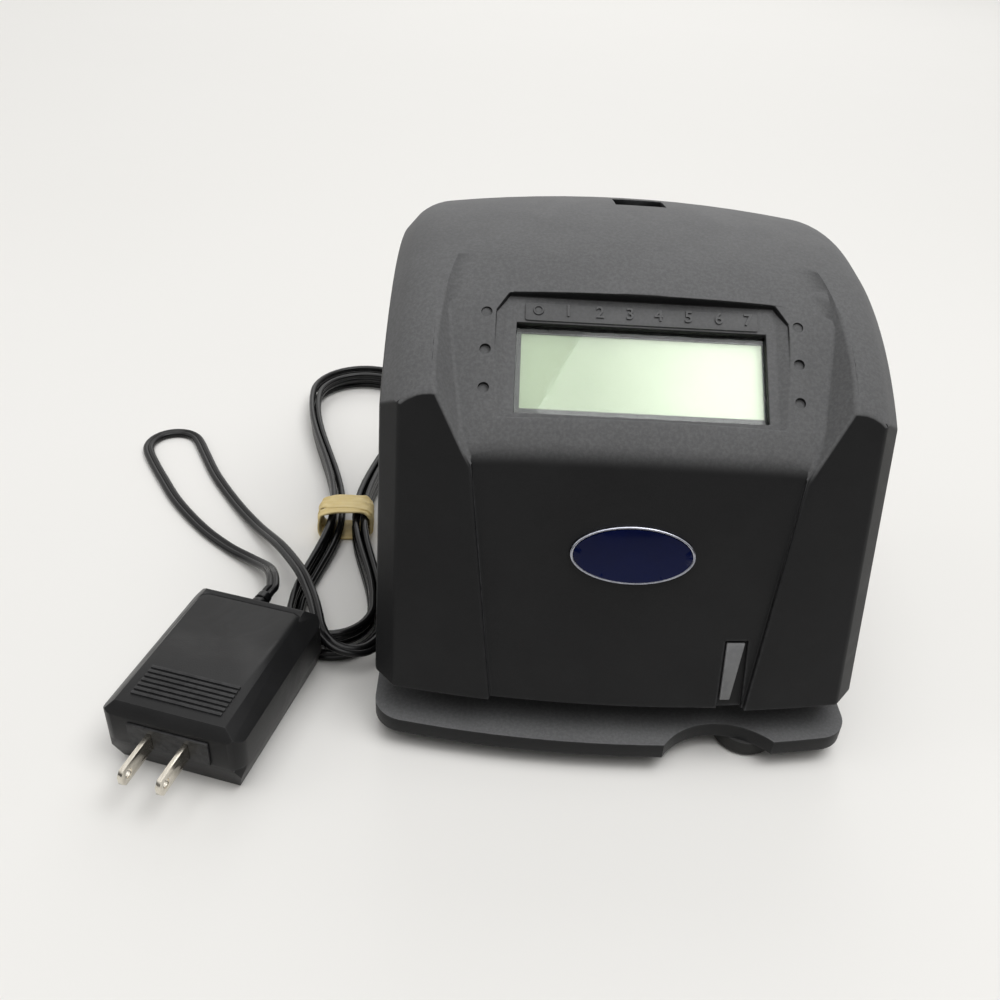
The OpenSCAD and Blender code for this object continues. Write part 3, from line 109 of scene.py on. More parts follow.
def pieceName(nodeName):
    first, *rest = nodeName.split("_")
    return first + "".join(word.capitalize() for word in rest)


# camera and lamps
cameraSettings = {
    "place": (-0.0489, -0.3008, 0.2612),
    "turn": (55.6225, -3.022, 0.4376),  # degrees
    "lens": 36.0,
}

clearSelection()
bpy.ops.object.camera_add(location=cameraSettings["place"],
                          rotation=[math.radians(a) for a in cameraSettings["turn"]])
camera = bpy.context.object
camera.name = "viewCamera"
camera.data.lens = cameraSettings["lens"]
camera.data.sensor_width = 36.0
camera.data.clip_start = 0.01
scene.camera = camera

lampSettings = {
    "ceiling": {"kind": "SUN", "place": (0.1, -0.15, 1.0), "aim": (0, 0, 0), "size": 1.1, "power": 1.75},
    "window": {"kind": "AREA", "place": (0.341, -0.195, 0.99), "aim": (0, -0.025, 0.12), "size": 0.5,
               "power": 2.6},
    "rear": {"kind": "AREA", "place": (0.2, 1.9, 1.5), "aim": (0, 0, 0.1), "size": 1.6, "power": 10.0},
    "side": {"kind": "AREA", "place": (-1.0, -0.1, 0.7), "aim": (0, 0, 0.05), "size": 0.6, "power": 1.0},
}

for lampName, lamp in lampSettings.items():
    bpy.ops.object.light_add(type=lamp["kind"], location=lamp["place"])
    light = bpy.context.object
    light.name = lampName + "Lamp"
    light.data.energy = lamp["power"]
    if lamp["kind"] == "SUN":
        light.data.angle = lamp["size"]
    else:
        light.data.shape = "SQUARE"
        light.data.size = lamp["size"]
    aim = Vector(lamp["aim"]) - Vector(lamp["place"])
    light.rotation_euler = aim.to_track_quat("-Z", "Y").to_euler()
print("camera and lamps placed")


# the lead, along the route of its solids, in millimetres
leadSettings = {
    "width": 5.0,
    "thick": 2.7,
    "reliefEnd": (-127, -9, 13),
    "reliefTurn": -15,  # degrees
    "straight": 6,  # out of the relief and into the hank
    "loopRoute": [
        (-127.3, 5, 11.8), (-131.5, 14.5, 7.8), (-140.5, 24.5, 3.8),
        (-152.5, 34.5, 1.8), (-166.5, 47.5, 1.45), (-182, 66, 1.45), (-194, 84.5, 1.45), (-201, 96, 1.45),
        (-205.7, 104.5, 1.45), (-207.9, 110.5, 1.45), (-207.6, 116.5, 1.45), (-204.6, 121.6, 1.45),
        (-199.5, 124.6, 1.45), (-193.5, 124.6, 1.45), (-188.4, 121.6, 1.45), (-184.6, 116, 1.45),
        (-180, 107, 1.45), (-170, 88, 1.45), (-156, 66.5, 1.8), (-142.5, 47.5, 3.8), (-128.5, 27.5, 9),
        (-117, 7.5, 13.2), (-111.5, -4, 13.2), (-108.5, -11.5, 13.2), (-106.2, -18.5, 13.2),
        (-104.2, -24.8, 13), (-101.2, -29.8, 12), (-96.4, -32.8, 10.4), (-91, -33.1, 9.2),
        (-86.2, -31.1, 8.6), (-83.2, -27.1, 8.3)],
    "tailRoute": [
        (-46, 108.5, 36), (-46, 119, 35), (-46, 131, 28), (-48, 143, 18), (-53, 155, 9), (-61.5, 161.5, 4),
        (-71, 159.5, 2.2), (-78.3, 151, 2.2), (-82.6, 139.5, 2.4)],
    "hankMid": (-106.2, 80),
    "hankTilt": 2.9,  # degrees
    "hankHalf": 112,
    "lobes": (18.6, 28),  # at the lower and the upper end
    "lobeStep": 3.6,
    "endStep": 8,
    "waistHalf": 8.2,
    "waistStep": 3.8,
    "waistAlong": -28,
    "layerStep": 5.7,
    "lift": 2.6,
    "overBand": 1.4,
    "bandRise": 24,
    "start": 0.25,
    "turnBack": 1.875,
    "turns": 3.1875,
    "ringsPerLoop": 96,
    "stepsPerPoint": 12,
    # rings before the hank where the lead starts to turn on edge, and how many the turn takes
    "tailRoll": (36, 30),
    "loopRoll": (78, 72),
}


def ease(t):
    t = min(max(t, 0), 1)
    return t * t * (3 - 2 * t)


def smoothRoute(points, steps):
    points = [Vector(p) for p in points]
    out = []
    for i in range(len(points) - 1):
        a, b, c, d = points[max(i - 1, 0)], points[i], points[i + 1], points[min(i + 2, len(points) - 1)]
        for j in range(steps):
            t = j / steps
            out.append(0.5 * (2 * b + (c - a) * t + (2 * a - 5 * b + 4 * c - d) * t ** 2
                              + (3 * b - a - 3 * c + d) * t ** 3))
    return out + [points[-1]]


def hankPoint(turn, s):
    inset = s["turnBack"] - s["start"] - abs(turn - s["turnBack"])
    low, high = [lobe - s["lobeStep"] * inset for lobe in s["lobes"]]
    lowReach, highReach = [s["hankHalf"] - s["endStep"] * inset - lobe for lobe in (low, high)]
    waist = s["waistAlong"]
    q = turn % 1
    part = (4 * q) % 1

    def runHalf(u):
        lobe, side = (low, lowReach + waist) if u < waist else (high, highReach - waist)
        least = s["waistHalf"] - s["waistStep"] * inset
        return least + (lobe - least) * math.sin(math.pi / 2 * min(1, abs(u - waist) / side)) ** 2

    if q < 0.25:
        across, along = low * math.cos(math.pi * (1 + part)), -lowReach + low * math.sin(math.pi * (1 + part))
    elif q < 0.5:
        along = -lowReach + part * (lowReach + highReach)
        across = runHalf(along)
    elif q < 0.75:
        across, along = high * math.cos(math.pi * part), highReach + high * math.sin(math.pi * part)
    else:
        along = highReach - part * (lowReach + highReach)
        across = -runHalf(along)
    tilt = math.radians(s["hankTilt"])
    climb = s["layerStep"] * ease((s["turnBack"] + 0.125 - turn) / 0.25)
    hump = s["overBand"] * math.exp(-((along - waist) / s["bandRise"]) ** 2)
    return Vector((s["hankMid"][0] + across * math.cos(tilt) - along * math.sin(tilt),
                   s["hankMid"][1] + across * math.sin(tilt) + along * math.cos(tilt),
                   s["lift"] + climb + hump))


def leadLine(s):
    count = int(s["turns"] * s["ringsPerLoop"])
    hank = [hankPoint(s["start"] + i / s["ringsPerLoop"] * 0.999999, s) for i in range(count + 1)]
    before = hank[0] + s["width"] * (hank[0] - hank[1]).normalized()
    after = hank[-1] + s["width"] * (hank[-1] - hank[-2]).normalized()
    hank = [before] + hank + [after]
    turn = math.radians(s["reliefTurn"])
    wayOut, wayIn = Vector((-math.sin(turn), math.cos(turn), 0)), (hank[0] - hank[1]).normalized()
    loopStart = [Vector(s["reliefEnd"]) + wayOut * s["straight"] * share for share in (0, 0.5, 1)]
    loopEnd = [hank[0] + wayIn * s["straight"] * share for share in (1, 0.5, 0)]
    tail = smoothRoute(s["tailRoute"] + [hank[-1]], s["stepsPerPoint"])
    loop = smoothRoute(loopStart + s["loopRoute"] + loopEnd, s["stepsPerPoint"])
    line = tail[:-1] + hank[::-1] + loop[::-1][1:]
    nTail, nLoop = len(tail), len(loop)
    tailBefore, tailOver = s["tailRoll"]
    loopBefore, loopOver = s["loopRoll"]
    roll = [90 * ease((i - nTail + tailBefore) / tailOver) for i in range(nTail - 1)]
    roll += [90] * len(hank)
    roll += [90 * ease((i - nLoop + loopBefore) / loopOver) for i in range(nLoop)][::-1][1:]
    return line, roll


def twinSection(width, thick, count=10):
    core = thick / 2
    offset = width / 2 - core
    reach = math.pi - math.acos(offset / core)  # to where the two cores meet
    turns = [reach * (2 * i / count - 1) for i in range(count)]
    right = [(offset + core * math.cos(a), core * math.sin(a)) for a in turns]
    return right + [(-x, -y) for x, y in right]


def buildLead(s):
    line, roll = leadLine(s)
    section = twinSection(s["width"], s["thick"])
    k = len(section)
    verts, faces = [], []
    for i, p in enumerate(line):
        along = (line[min(i + 1, len(line) - 1)] - line[max(i - 1, 0)]).normalized()
        side = along.cross(Vector((0, 0, 1))).normalized()
        up = side.cross(along)
        c, d = math.cos(math.radians(roll[i])), math.sin(math.radians(roll[i]))
        verts += [(p + side * (x * c - y * d) + up * (x * d + y * c)) / 1000 for x, y in section]
    for i in range(len(line) - 1):
        for j in range(k):
            a, b = i * k + j, i * k + (j + 1) % k
            faces.append((a, b, b + k, a + k))
    faces.append(tuple(range(k))[::-1])
    faces.append(tuple((len(line) - 1) * k + j for j in range(k)))
    mesh = bpy.data.meshes.new("lead")
    mesh.from_pydata([tuple(v) for v in verts], [], faces)
    mesh.update()
    lead = bpy.data.objects.new("lead", mesh)
    scene.collection.objects.link(lead)
    faceOutward(lead)
    smoothByAngle(lead, 60)
    return lead, [p / 1000 for p in line]


lead, leadPath = buildLead(leadSettings)
settle(lead, "base", "lead_rubber", ["lead_to_adapter", "lead_hank", "lead_to_clock"])


# the wide rubber band round the hank: three wraps of one crumpled strip
bandSettings = {
    "inner": (19.9, 11.9),  # the bundle that it holds, wide and high
    "floorGap": 1.1,
    "thick": 0.95,
    "creaseRate": (2.2, 2.5),  # round the band and across the strip
    "creaseDeep": 0.9,
    "creaseSway": 0.8,
    "slack": 0.3,
    "curl": 0.55,
    "pinch": 0.18,
    "wraps": [
        {"along": 4.0, "wide": 5.6, "tilt": 9, "out": 0.0, "seed": 3.1},
        {"along": -0.4, "wide": 6.0, "tilt": -8, "out": 0.6, "seed": 8.4},
        {"along": -4.6, "wide": 4.6, "tilt": 11, "out": 0.2, "seed": 5.7},
    ],
}


def roundedPath(angle, wide, high):
    c, d = math.cos(angle), math.sin(angle)
    power = 0.5  # between an oval and a rectangle
    return Vector((math.copysign(abs(c) ** power, c) * wide / 2,
                   math.copysign(abs(d) ** power, d) * high / 2))


def bandWrap(s, wrap):
    clearSelection()
    bpy.ops.mesh.primitive_cylinder_add(vertices=72, radius=1, depth=1, end_fill_type="NOTHING")
    piece = bpy.context.object
    bpy.ops.object.mode_set(mode="EDIT")
    bpy.ops.mesh.select_all(action="SELECT")
    bpy.ops.mesh.subdivide(number_cuts=5)
    bpy.ops.object.mode_set(mode="OBJECT")
    wide, high = s["inner"][0] + s["thick"], s["inner"][1] + s["thick"]
    roundRate, acrossRate = s["creaseRate"]
    for v in piece.data.vertices:
        angle = math.atan2(v.co.y, v.co.x)
        edge = v.co.z  # from -0.5 to 0.5 across the strip
        flat = roundedPath(angle, wide, high)
        out = flat.normalized()
        crease = noise.noise(Vector((math.cos(angle) * roundRate, math.sin(angle) * roundRate,
                                     edge * acrossRate + wrap["seed"])))
        above = max(0, math.sin(angle))
        curl = s["curl"] * (2 * edge) ** 4
        push = wrap["out"] + s["slack"] + s["creaseDeep"] * crease + curl * (0.4 + 0.6 * above)
        along = wrap["along"] + edge * wrap["wide"] * (1 - s["pinch"] * above * abs(crease))
        along += math.cos(angle) * wrap["tilt"] / 10 + s["creaseSway"] * crease
        v.co = Vector((flat.x + out.x * push, along, max(flat.y + out.y * push, -high / 2 + 0.1)))
    faceOutward(piece)
    applyModifier(piece, "SOLIDIFY", thickness=s["thick"], offset=0)
    applyModifier(piece, "SUBSURF", levels=1, render_levels=1)
    return piece


def buildBand(s):
    wraps = [bandWrap(s, wrap) for wrap in s["wraps"]]
    makeActive(wraps[0])
    for piece in wraps[1:]:
        piece.select_set(True)
    bpy.ops.object.join()
    band = bpy.context.object
    band.name = "rubberBand"
    tilt = math.radians(leadSettings["hankTilt"])
    along = leadSettings["waistAlong"]
    band.scale = (0.001, 0.001, 0.001)
    band.rotation_euler = (0, 0, tilt)
    band.location = ((leadSettings["hankMid"][0] - along * math.sin(tilt)) / 1000,
                     (leadSettings["hankMid"][1] + along * math.cos(tilt)) / 1000,
                     (s["floorGap"] + s["inner"][1] / 2) / 1000)
    placeInMesh(band)
    smoothByAngle(band, 70)
    return band


rubberBand = buildBand(bandSettings)
settle(rubberBand, "base", "band_tan", ["hank_band"])
print("rubber band made")


# moulded, turned and cut pieces: copies of the solids with broken edges, widths in millimetres
softEdges = {
    "base_plate": {"edge": 1.3, "from": 40, "steps": 4},
    "rear_cover": {"edge": 0.6, "from": 30, "steps": 2},
    "chassis_deck": {"edge": 0.35, "from": 40, "steps": 2},
    "rubber_feet": {"edge": 0.7, "from": 30, "steps": 3},
    "day_strip": {"edge": 0.2, "from": 40, "steps": 2},
    "badge_rim": {"edge": 0.4, "from": 40, "steps": 3},
    "print_mark": {"edge": 0.25, "from": 40, "steps": 2},
    "adapter_bottom_shell": {"edge": 0.9, "from": 30, "steps": 3},
    "blade_seat": {"edge": 0.3, "from": 40, "steps": 2},
    "plug_blades": {"edge": 0.3, "from": 40, "steps": 3},
    "adapter_relief": {"edge": 0.3, "from": 40, "steps": 2},
    "dc_plug": {"edge": 0.8, "from": 40, "steps": 3},
    "drive_motor": {"edge": 0.4, "from": 40, "steps": 2},
    "print_carriage": {"edge": 0.4, "from": 40, "steps": 2},
    "ribbon_cassette": {"edge": 0.5, "from": 40, "steps": 2},
    "display_bracket": {"edge": 0.25, "from": 40, "steps": 2},
    "left_frame_plate": {"edge": 0.2, "from": 40, "steps": 2},
    "right_frame_plate": {"edge": 0.2, "from": 40, "steps": 2},
    "backup_battery": {"edge": 0.5, "from": 40, "steps": 3},
    "sounder": {"edge": 0.4, "from": 40, "steps": 2},
    "card_switch": {"edge": 0.3, "from": 40, "steps": 2},
    "dc_socket": {"edge": 0.3, "from": 40, "steps": 2},
    "lock_housing": {"edge": 0.25, "from": 40, "steps": 2},
    "lock_catch": {"edge": 0.3, "from": 40, "steps": 2},
    "adapter_transformer": {"edge": 0.8, "from": 40, "steps": 2},
    "front_guide_shaft": {"edge": 0.3, "from": 40, "steps": 2},
    "rear_guide_shaft": {"edge": 0.3, "from": 40, "steps": 2},
    "set_key_1": {"edge": 0.25, "from": 40, "steps": 2},
    "set_key_2": {"edge": 0.25, "from": 40, "steps": 2},
    "set_key_3": {"edge": 0.25, "from": 40, "steps": 2},
}
# turned and toothed pieces keep their edges and are only shaded smooth
smoothOnly = ["lead_screw", "screw_gear", "motor_pinion", "feed_spool", "take_up_spool",
              "print_head", "screw_bushes", "base_screws", "rear_screws", "lock_cylinder", "lock_nut",
              "lock_cam", "card_lever"]


def mergedCopy(nodeName, joinFlat=True):
    piece = bpy.data.objects.new(pieceName(nodeName), nodes[nodeName].data.copy())
    scene.collection.objects.link(piece)
    makeActive(piece)
    bpy.ops.object.mode_set(mode="EDIT")
    bpy.ops.mesh.select_all(action="SELECT")
    bpy.ops.mesh.remove_doubles(threshold=0.000004)
    if joinFlat:
        bpy.ops.mesh.dissolve_limited(angle_limit=math.radians(0.3))
    bpy.ops.object.mode_set(mode="OBJECT")
    return piece


def breakEdges(piece, edge, start, steps, smooth=32):
    applyModifier(piece, "BEVEL", width=edge / 1000, segments=steps, limit_method="ANGLE",
                  angle_limit=math.radians(start), use_clamp_overlap=True)
    smoothByAngle(piece, smooth)


for nodeName, s in softEdges.items():
    piece = mergedCopy(nodeName)
    breakEdges(piece, s["edge"], s["from"], s["steps"])
    settle(piece, bodyOf(nodeName), slotOf(nodeName), [nodeName])
for nodeName in smoothOnly:
    piece = mergedCopy(nodeName)
    smoothByAngle(piece, 35)
    settle(piece, bodyOf(nodeName), slotOf(nodeName), [nodeName])
# the badge's slow curve keeps its fine faces, or it would go flat in patches
badgeDome = mergedCopy("badge_dome", joinFlat=False)
smoothByAngle(badgeDome, 35)
applyModifier(badgeDome, "WEIGHTED_NORMAL", keep_sharp=True)
settle(badgeDome, "cover", slotOf("badge_dome"), ["badge_dome"])
print("soft copies made")


# the adapter's top shell with the fine groove round its bare label place
adapterSettings = {
    "place": (-127, -9),  # the end of its relief
    "turn": -15,  # degrees
    "middle": (6, -46),
    "grooveWide": 0.7,
    "groove": [(-19.6, -7.5), (-19.6, 22), (-18.7, 24.6), (-16.2, 25.6),
               (16.2, 25.6), (18.7, 24.6), (19.6, 22), (19.6, -7.5)],
    "top": 27,
    "edge": 1.1,
}


def onAdapter(s):
    return (Matrix.Translation((s["place"][0] / 1000, s["place"][1] / 1000, 0))
            @ Matrix.Rotation(math.radians(s["turn"]), 4, "Z")
            @ Matrix.Translation((s["middle"][0] / 1000, s["middle"][1] / 1000, 0)))


def grooveCutter(s):
    clearSelection()
    bpy.ops.mesh.primitive_plane_add(size=0.001)
    cutter = bpy.context.object
    bpy.ops.object.mode_set(mode="EDIT")
    bpy.ops.mesh.delete(type="VERT")
    bpy.ops.object.mode_set(mode="OBJECT")
    points = [Vector((x, y)) for x, y in s["groove"]]
    half = s["grooveWide"] / 2
    verts, faces = [], []
    for i, p in enumerate(points):
        along = (points[min(i + 1, len(points) - 1)] - points[max(i - 1, 0)]).normalized()
        side = Vector((along.y, -along.x)) * half
        for offset, height in ((side, 1.0), (side * 0.4, -0.45), (-side * 0.4, -0.45), (-side, 1.0)):
            q = p + offset
            verts.append((q.x / 1000, q.y / 1000, (s["top"] + height) / 1000))
    for i in range(len(points) - 1):
        for j in range(4):
            a, b = 4 * i + j, 4 * i + (j + 1) % 4
            faces.append((a, b, b + 4, a + 4))
    last = 4 * (len(points) - 1)
    faces += [(0, 1, 2, 3), (last + 3, last + 2, last + 1, last)]
    cutter.data.from_pydata(verts, [], faces)
    cutter.data.update()
    cutter.matrix_world = onAdapter(s)
    placeInMesh(cutter)
    faceOutward(cutter)
    return cutter


def buildAdapterTop(s):
    piece = mergedCopy("adapter_top_shell")
    breakEdges(piece, s["edge"], 30, 3)
    cutter = grooveCutter(s)
    applyModifier(piece, "BOOLEAN", operation="DIFFERENCE", solver="EXACT", object=cutter)
    bpy.data.objects.remove(cutter)
    smoothByAngle(piece, 32)
    settle(piece, "base", slotOf("adapter_top_shell"), ["adapter_top_shell"])


buildAdapterTop(adapterSettings)
print("adapter made")


# the case, whose edges differ from place to place, in millimetres
caseSettings = {
    "shell": 1.0,
    "recess": 0.5,
    "small": 0.3,
    "seat": 0.12,
    "from": 12,  # degrees between faces
    "near": {"badge": 2, "fitting": 6, "lens": 9},  # how far round a piece its edge width holds
    "junction": (52.3, 99.9),  # where each crease meets the front, across and up: left unbroken
    "junctionReach": (3, 2.2),
    "tip": ((52, -9, 132), (63, 22, 150)),  # round the upper end of each crease: left unbroken
    "shortEdge": {"across": 48.5, "reach": 2.4, "above": 100, "under": 1},
}


def inside(point, corners, grow):
    lo, hi = corners
    return all(lo[i] - grow < point[i] < hi[i] + grow for i in range(3))


def buildCase(s):
    piece = mergedCopy("upper_case")
    widest = s["shell"]
    near, short = s["near"], s["shortEdge"]
    across, up = s["junction"]
    acrossReach, upReach = s["junctionReach"]
    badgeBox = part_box("badge_rim")
    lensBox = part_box("display_lens")
    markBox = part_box("print_mark")
    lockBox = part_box("lock_housing")
    bm = bmesh.new()
    bm.from_mesh(piece.data)
    weights = bm.edges.layers.float.new("bevel_weight_edge")
    for edge in bm.edges:
        if len(edge.link_faces) != 2 or edge.calc_face_angle(0) < math.radians(s["from"]):
            continue
        mid = (edge.verts[0].co + edge.verts[1].co) / 2
        if all(abs(abs(v.co.x) * 1000 - across) < acrossReach and abs(v.co.z * 1000 - up) < upReach
               for v in edge.verts):
            continue
        if inside((abs(mid.x) * 1000, mid.y * 1000, mid.z * 1000), s["tip"], 0):
            continue
        width = s["shell"]
        if inside(mid, badgeBox, near["badge"] / 1000):
            width = s["seat"]
        elif (abs(abs(mid.x) * 1000 - short["across"]) < short["reach"] and mid.z * 1000 > short["above"]
              and edge.calc_length() * 1000 < short["under"]):
            width = s["seat"]
        elif any(inside(mid, box, near["fitting"] / 1000) for box in (markBox, lockBox)):
            width = s["small"]
        elif inside(mid, lensBox, near["lens"] / 1000):
            width = s["recess"]
        edge[weights] = width / widest
    bm.to_mesh(piece.data)
    bm.free()
    applyModifier(piece, "BEVEL", width=widest / 1000, segments=3, limit_method="WEIGHT",
                  use_clamp_overlap=False)
    smoothByAngle(piece, 32)
    applyModifier(piece, "WEIGHTED_NORMAL", keep_sharp=True)
    settle(piece, "cover", "case_plastic", ["upper_case"])
    return piece


upperCase = buildCase(caseSettings)
print("case made:", len(upperCase.data.polygons), "faces")


# raised plain numbers and a ring on the day strip, in millimetres
numberSettings = {
    "places": (-23.1, -13.2, -3.8, 5.2, 14.6, 24.1, 33.2),
    "ring": -32.4,
    "size": 5.4,
    "rise": 0.4,
    "sunk": 0.1,
    "edge": 0.08,
    "ringSizes": (1.4, 0.36),  # of the ring and of its wire
    "middle": (-10.39, 134.54),  # of the strip's face, front to back and up
    "upSlope": 0.5,
    "slope": 38.5,  # degrees
}


def slopeWays(slope):
    return Vector((0, math.cos(slope), math.sin(slope))), Vector((0, -math.sin(slope), math.cos(slope)))


def buildNumbers(s):
    slope = math.radians(s["slope"])
    up, out = slopeWays(slope)
    middle = Vector((0, s["middle"][0], s["middle"][1])) + up * s["upSlope"]
    pieces = []
    for i, x in enumerate(s["places"]):
        clearSelection()
        bpy.ops.object.text_add()
        number = bpy.context.object
        number.data.body = str(i + 1)
        number.data.align_x = "CENTER"
        number.data.align_y = "CENTER"
        number.data.size = s["size"] / 1000
        number.data.extrude = (s["rise"] + s["sunk"]) / 2000
        number.data.bevel_depth = s["edge"] / 1000
        number.data.bevel_resolution = 1
        bpy.ops.object.convert(target="MESH")
        number.rotation_euler = (slope, 0, 0)
        number.location = (middle + out * (s["rise"] - s["sunk"]) / 2 + Vector((x, 0, 0))) / 1000
        placeInMesh(number)
        pieces.append(number)
    clearSelection()
    ringRadius, wireRadius = [size / 1000 for size in s["ringSizes"]]
    bpy.ops.mesh.primitive_torus_add(major_radius=ringRadius, minor_radius=wireRadius,
                                     major_segments=40, minor_segments=10)
    ring = bpy.context.object
    ring.rotation_euler = (slope, 0, 0)
    ring.location = (middle + Vector((s["ring"], 0, 0))) / 1000
    placeInMesh(ring)
    makeActive(ring)
    for number in pieces:
        number.select_set(True)
    bpy.ops.object.join()
    numbers = bpy.context.object
    numbers.name = "dayNumbers"
    smoothByAngle(numbers, 40)
    settle(numbers, "cover", "strip_plastic")


buildNumbers(numberSettings)
print("day numbers made")


# painted shade: a black frame on the display glass that stands in for the shadow on the window's inner walls,
# in millimetres
shadeMaskSettings = {
    "middle": (-24.719, 122.336),  # of the window on the case, front to back and up
    "slope": 38.5,  # degrees
    "below": 4.25,
    "thick": 0.4,
    "cutDeep": 4,
    "edge": 0.1,
    "outer": (85.4, 35.4),
    "opening": ((-37.3, 38.6), (-12.0, 13.3)),  # across and up the slope
}


def slopedBlock(s, middle, sizes):
    slope = math.radians(s["slope"])
    up, out = slopeWays(slope)
    clearSelection()
    bpy.ops.mesh.primitive_cube_add(size=1)
    block = bpy.context.object
    block.scale = [size / 1000 for size in sizes]
    block.rotation_euler = (slope, 0, 0)
    block.location = (Vector((middle[0], *s["middle"])) + up * middle[1] - out * s["below"]) / 1000
    placeInMesh(block)
    return block


def buildShadeMask(s):
    (left, right), (low, high) = s["opening"]
    # the black frame is painted shade where the window walls fall in shadow
    mask = slopedBlock(s, (0, 0), (*s["outer"], s["thick"]))
    mask.name = "displayMask"
    cutter = slopedBlock(s, ((left + right) / 2, (low + high) / 2), (right - left, high - low, s["cutDeep"]))
    applyModifier(mask, "BOOLEAN", operation="DIFFERENCE", solver="EXACT", object=cutter)
    bpy.data.objects.remove(cutter)
    applyModifier(mask, "BEVEL", width=s["edge"] / 1000, segments=1, limit_method="ANGLE")
    settle(mask, "base", "black_plastic")


buildShadeMask(shadeMaskSettings)
print("display mask made")


# parts on the main board, seen with the case lifted off, in millimetres
boardSettings = {
    "face": 55.4,  # the board's front
    "chips": [(-8, 44, 17, 17, 2.2), (-38, 70, 20, 8, 3.0), (-38, 92, 14, 8, 2.4), (34, 36, 16, 8, 3.0)],
    "cans": [(-50, 50, 4.2, 10), (-38, 52, 3.2, 8), (8, 92, 3.2, 8), (52, 50, 2.6, 7)],
    "headers": [(20, 100, 26, 5, 6), (-22, 28, 18, 5, 6), (48, 88, 12, 5, 6)],
    "smalls": [(4 + 5 * i, 66 - 3 * (i % 2)) for i in range(3)] + [(-58 + 6 * i, 80) for i in range(3)],
    "smallSizes": (2.4, 1.3, 0.7),
    "leg": {"pitch": 1.6, "start": 0.9, "out": 0.5, "sizes": (0.6, 1.4, 0.8)},
    "pin": {"pitch": 2.5, "start": 1.4, "past": 2.4, "wide": 0.6},
}


def boardBlock(x, z, wide, high, deep, edge):
    clearSelection()
    place = (x / 1000, (boardSettings["face"] - deep / 2) / 1000, z / 1000)
    bpy.ops.mesh.primitive_cube_add(size=1, location=place)
    block = bpy.context.object
    block.scale = (wide / 1000, deep / 1000, high / 1000)
    placeInMesh(block)
    applyModifier(block, "BEVEL", width=edge / 1000, segments=2)
    return block


def joinAs(pieces, name, body, slot):
    makeActive(pieces[0])
    for piece in pieces[1:]:
        piece.select_set(True)
    bpy.ops.object.join()
    joined = bpy.context.object
    joined.name = name
    smoothByAngle(joined, 32)
    settle(joined, body, slot)


def buildBoardParts(s):
    chips, legs, cans, headers, pins = [], [], [], [], []
    leg, pin = s["leg"], s["pin"]
    for x, z, wide, high, deep in s["chips"]:
        chips.append(boardBlock(x, z, wide, high, deep, 0.3))
        for i in range(int(wide / leg["pitch"])):
            legX = x - wide / 2 + leg["start"] + leg["pitch"] * i
            for end in (-1, 1):
                legs.append(boardBlock(legX, z + end * (high / 2 + leg["out"]), *leg["sizes"], 0.1))
    for x, z, radius, tall in s["cans"]:
        clearSelection()
        bpy.ops.mesh.primitive_cylinder_add(vertices=40, radius=radius / 1000, depth=tall / 1000,
                                            location=(x / 1000, (s["face"] - tall / 2) / 1000, z / 1000),
                                            rotation=(math.pi / 2, 0, 0))
        can = bpy.context.object
        placeInMesh(can)
        applyModifier(can, "BEVEL", width=0.0004, segments=3, limit_method="ANGLE")
        cans.append(can)
    for x, z, wide, high, deep in s["headers"]:
        headers.append(boardBlock(x, z, wide, high, deep, 0.4))
        for i in range(int(wide / pin["pitch"])):
            pinX = x - wide / 2 + pin["start"] + pin["pitch"] * i
            pins.append(boardBlock(pinX, z, pin["wide"], pin["wide"], deep + pin["past"], 0.1))
    for x, z in s["smalls"]:
        chips.append(boardBlock(x, z, *s["smallSizes"], 0.1))
    joinAs(chips + cans, "boardChips", "base", "black_plastic")
    joinAs(headers, "boardHeaders", "base", "white_plastic")
    joinAs(legs + pins, "boardPins", "base", "screw_steel")


buildBoardParts(boardSettings)
print("board parts made")


# shared effects: node groups that put out masks, tones and heights
def addNode(tree, kind, **values):
    node = tree.nodes.new(kind)
    for key, value in values.items():
        setattr(node, key, value)
    return node


def feed(tree, socket, source):
    if isinstance(source, bpy.types.NodeSocket):
        tree.links.new(source, socket)
    else:
        socket.default_value = source


def maths(tree, operation, a, b=0.0, clamp=False):
    node = addNode(tree, "ShaderNodeMath", operation=operation, use_clamp=clamp)
    feed(tree, node.inputs[0], a)
    feed(tree, node.inputs[1], b)
    return node.outputs[0]


def ramped(tree, value, low, high, start=0.0, end=1.0):
    node = addNode(tree, "ShaderNodeMapRange", interpolation_type="SMOOTHSTEP")
    for socket, source in zip(node.inputs[:5], (value, low, high, start, end)):
        feed(tree, socket, source)
    return node.outputs[0]


def noiseField(tree, vector, rate, detail=2.0, rough=0.55, twist=0.0):
    node = addNode(tree, "ShaderNodeTexNoise")
    feed(tree, node.inputs["Vector"], vector)
    feed(tree, node.inputs["Scale"], rate)
    node.inputs["Detail"].default_value = detail
    node.inputs["Roughness"].default_value = rough
    node.inputs["Distortion"].default_value = twist
    return node.outputs["Fac"]


def mixed(tree, factor, a, b):
    node = addNode(tree, "ShaderNodeMix", data_type="RGBA")
    feed(tree, node.inputs[0], factor)
    for socket, colour in ((node.inputs[6], a), (node.inputs[7], b)):
        feed(tree, socket, colour if isinstance(colour, bpy.types.NodeSocket) else (*colour, 1))
    return node.outputs[2]


def stretched(tree, vector, rates):
    node = addNode(tree, "ShaderNodeMapping")
    feed(tree, node.inputs["Vector"], vector)
    node.inputs["Scale"].default_value = rates
    return node.outputs["Vector"]


def newGroup(name, inputs, outputs):
    group = bpy.data.node_groups.new(name, "ShaderNodeTree")
    for label, kind in inputs:
        group.interface.new_socket(name=label, in_out="INPUT", socket_type=kind)
    for label in outputs:
        group.interface.new_socket(name=label, in_out="OUTPUT", socket_type="NodeSocketFloat")
    return group, group.nodes.new("NodeGroupInput").outputs, group.nodes.new("NodeGroupOutput").inputs


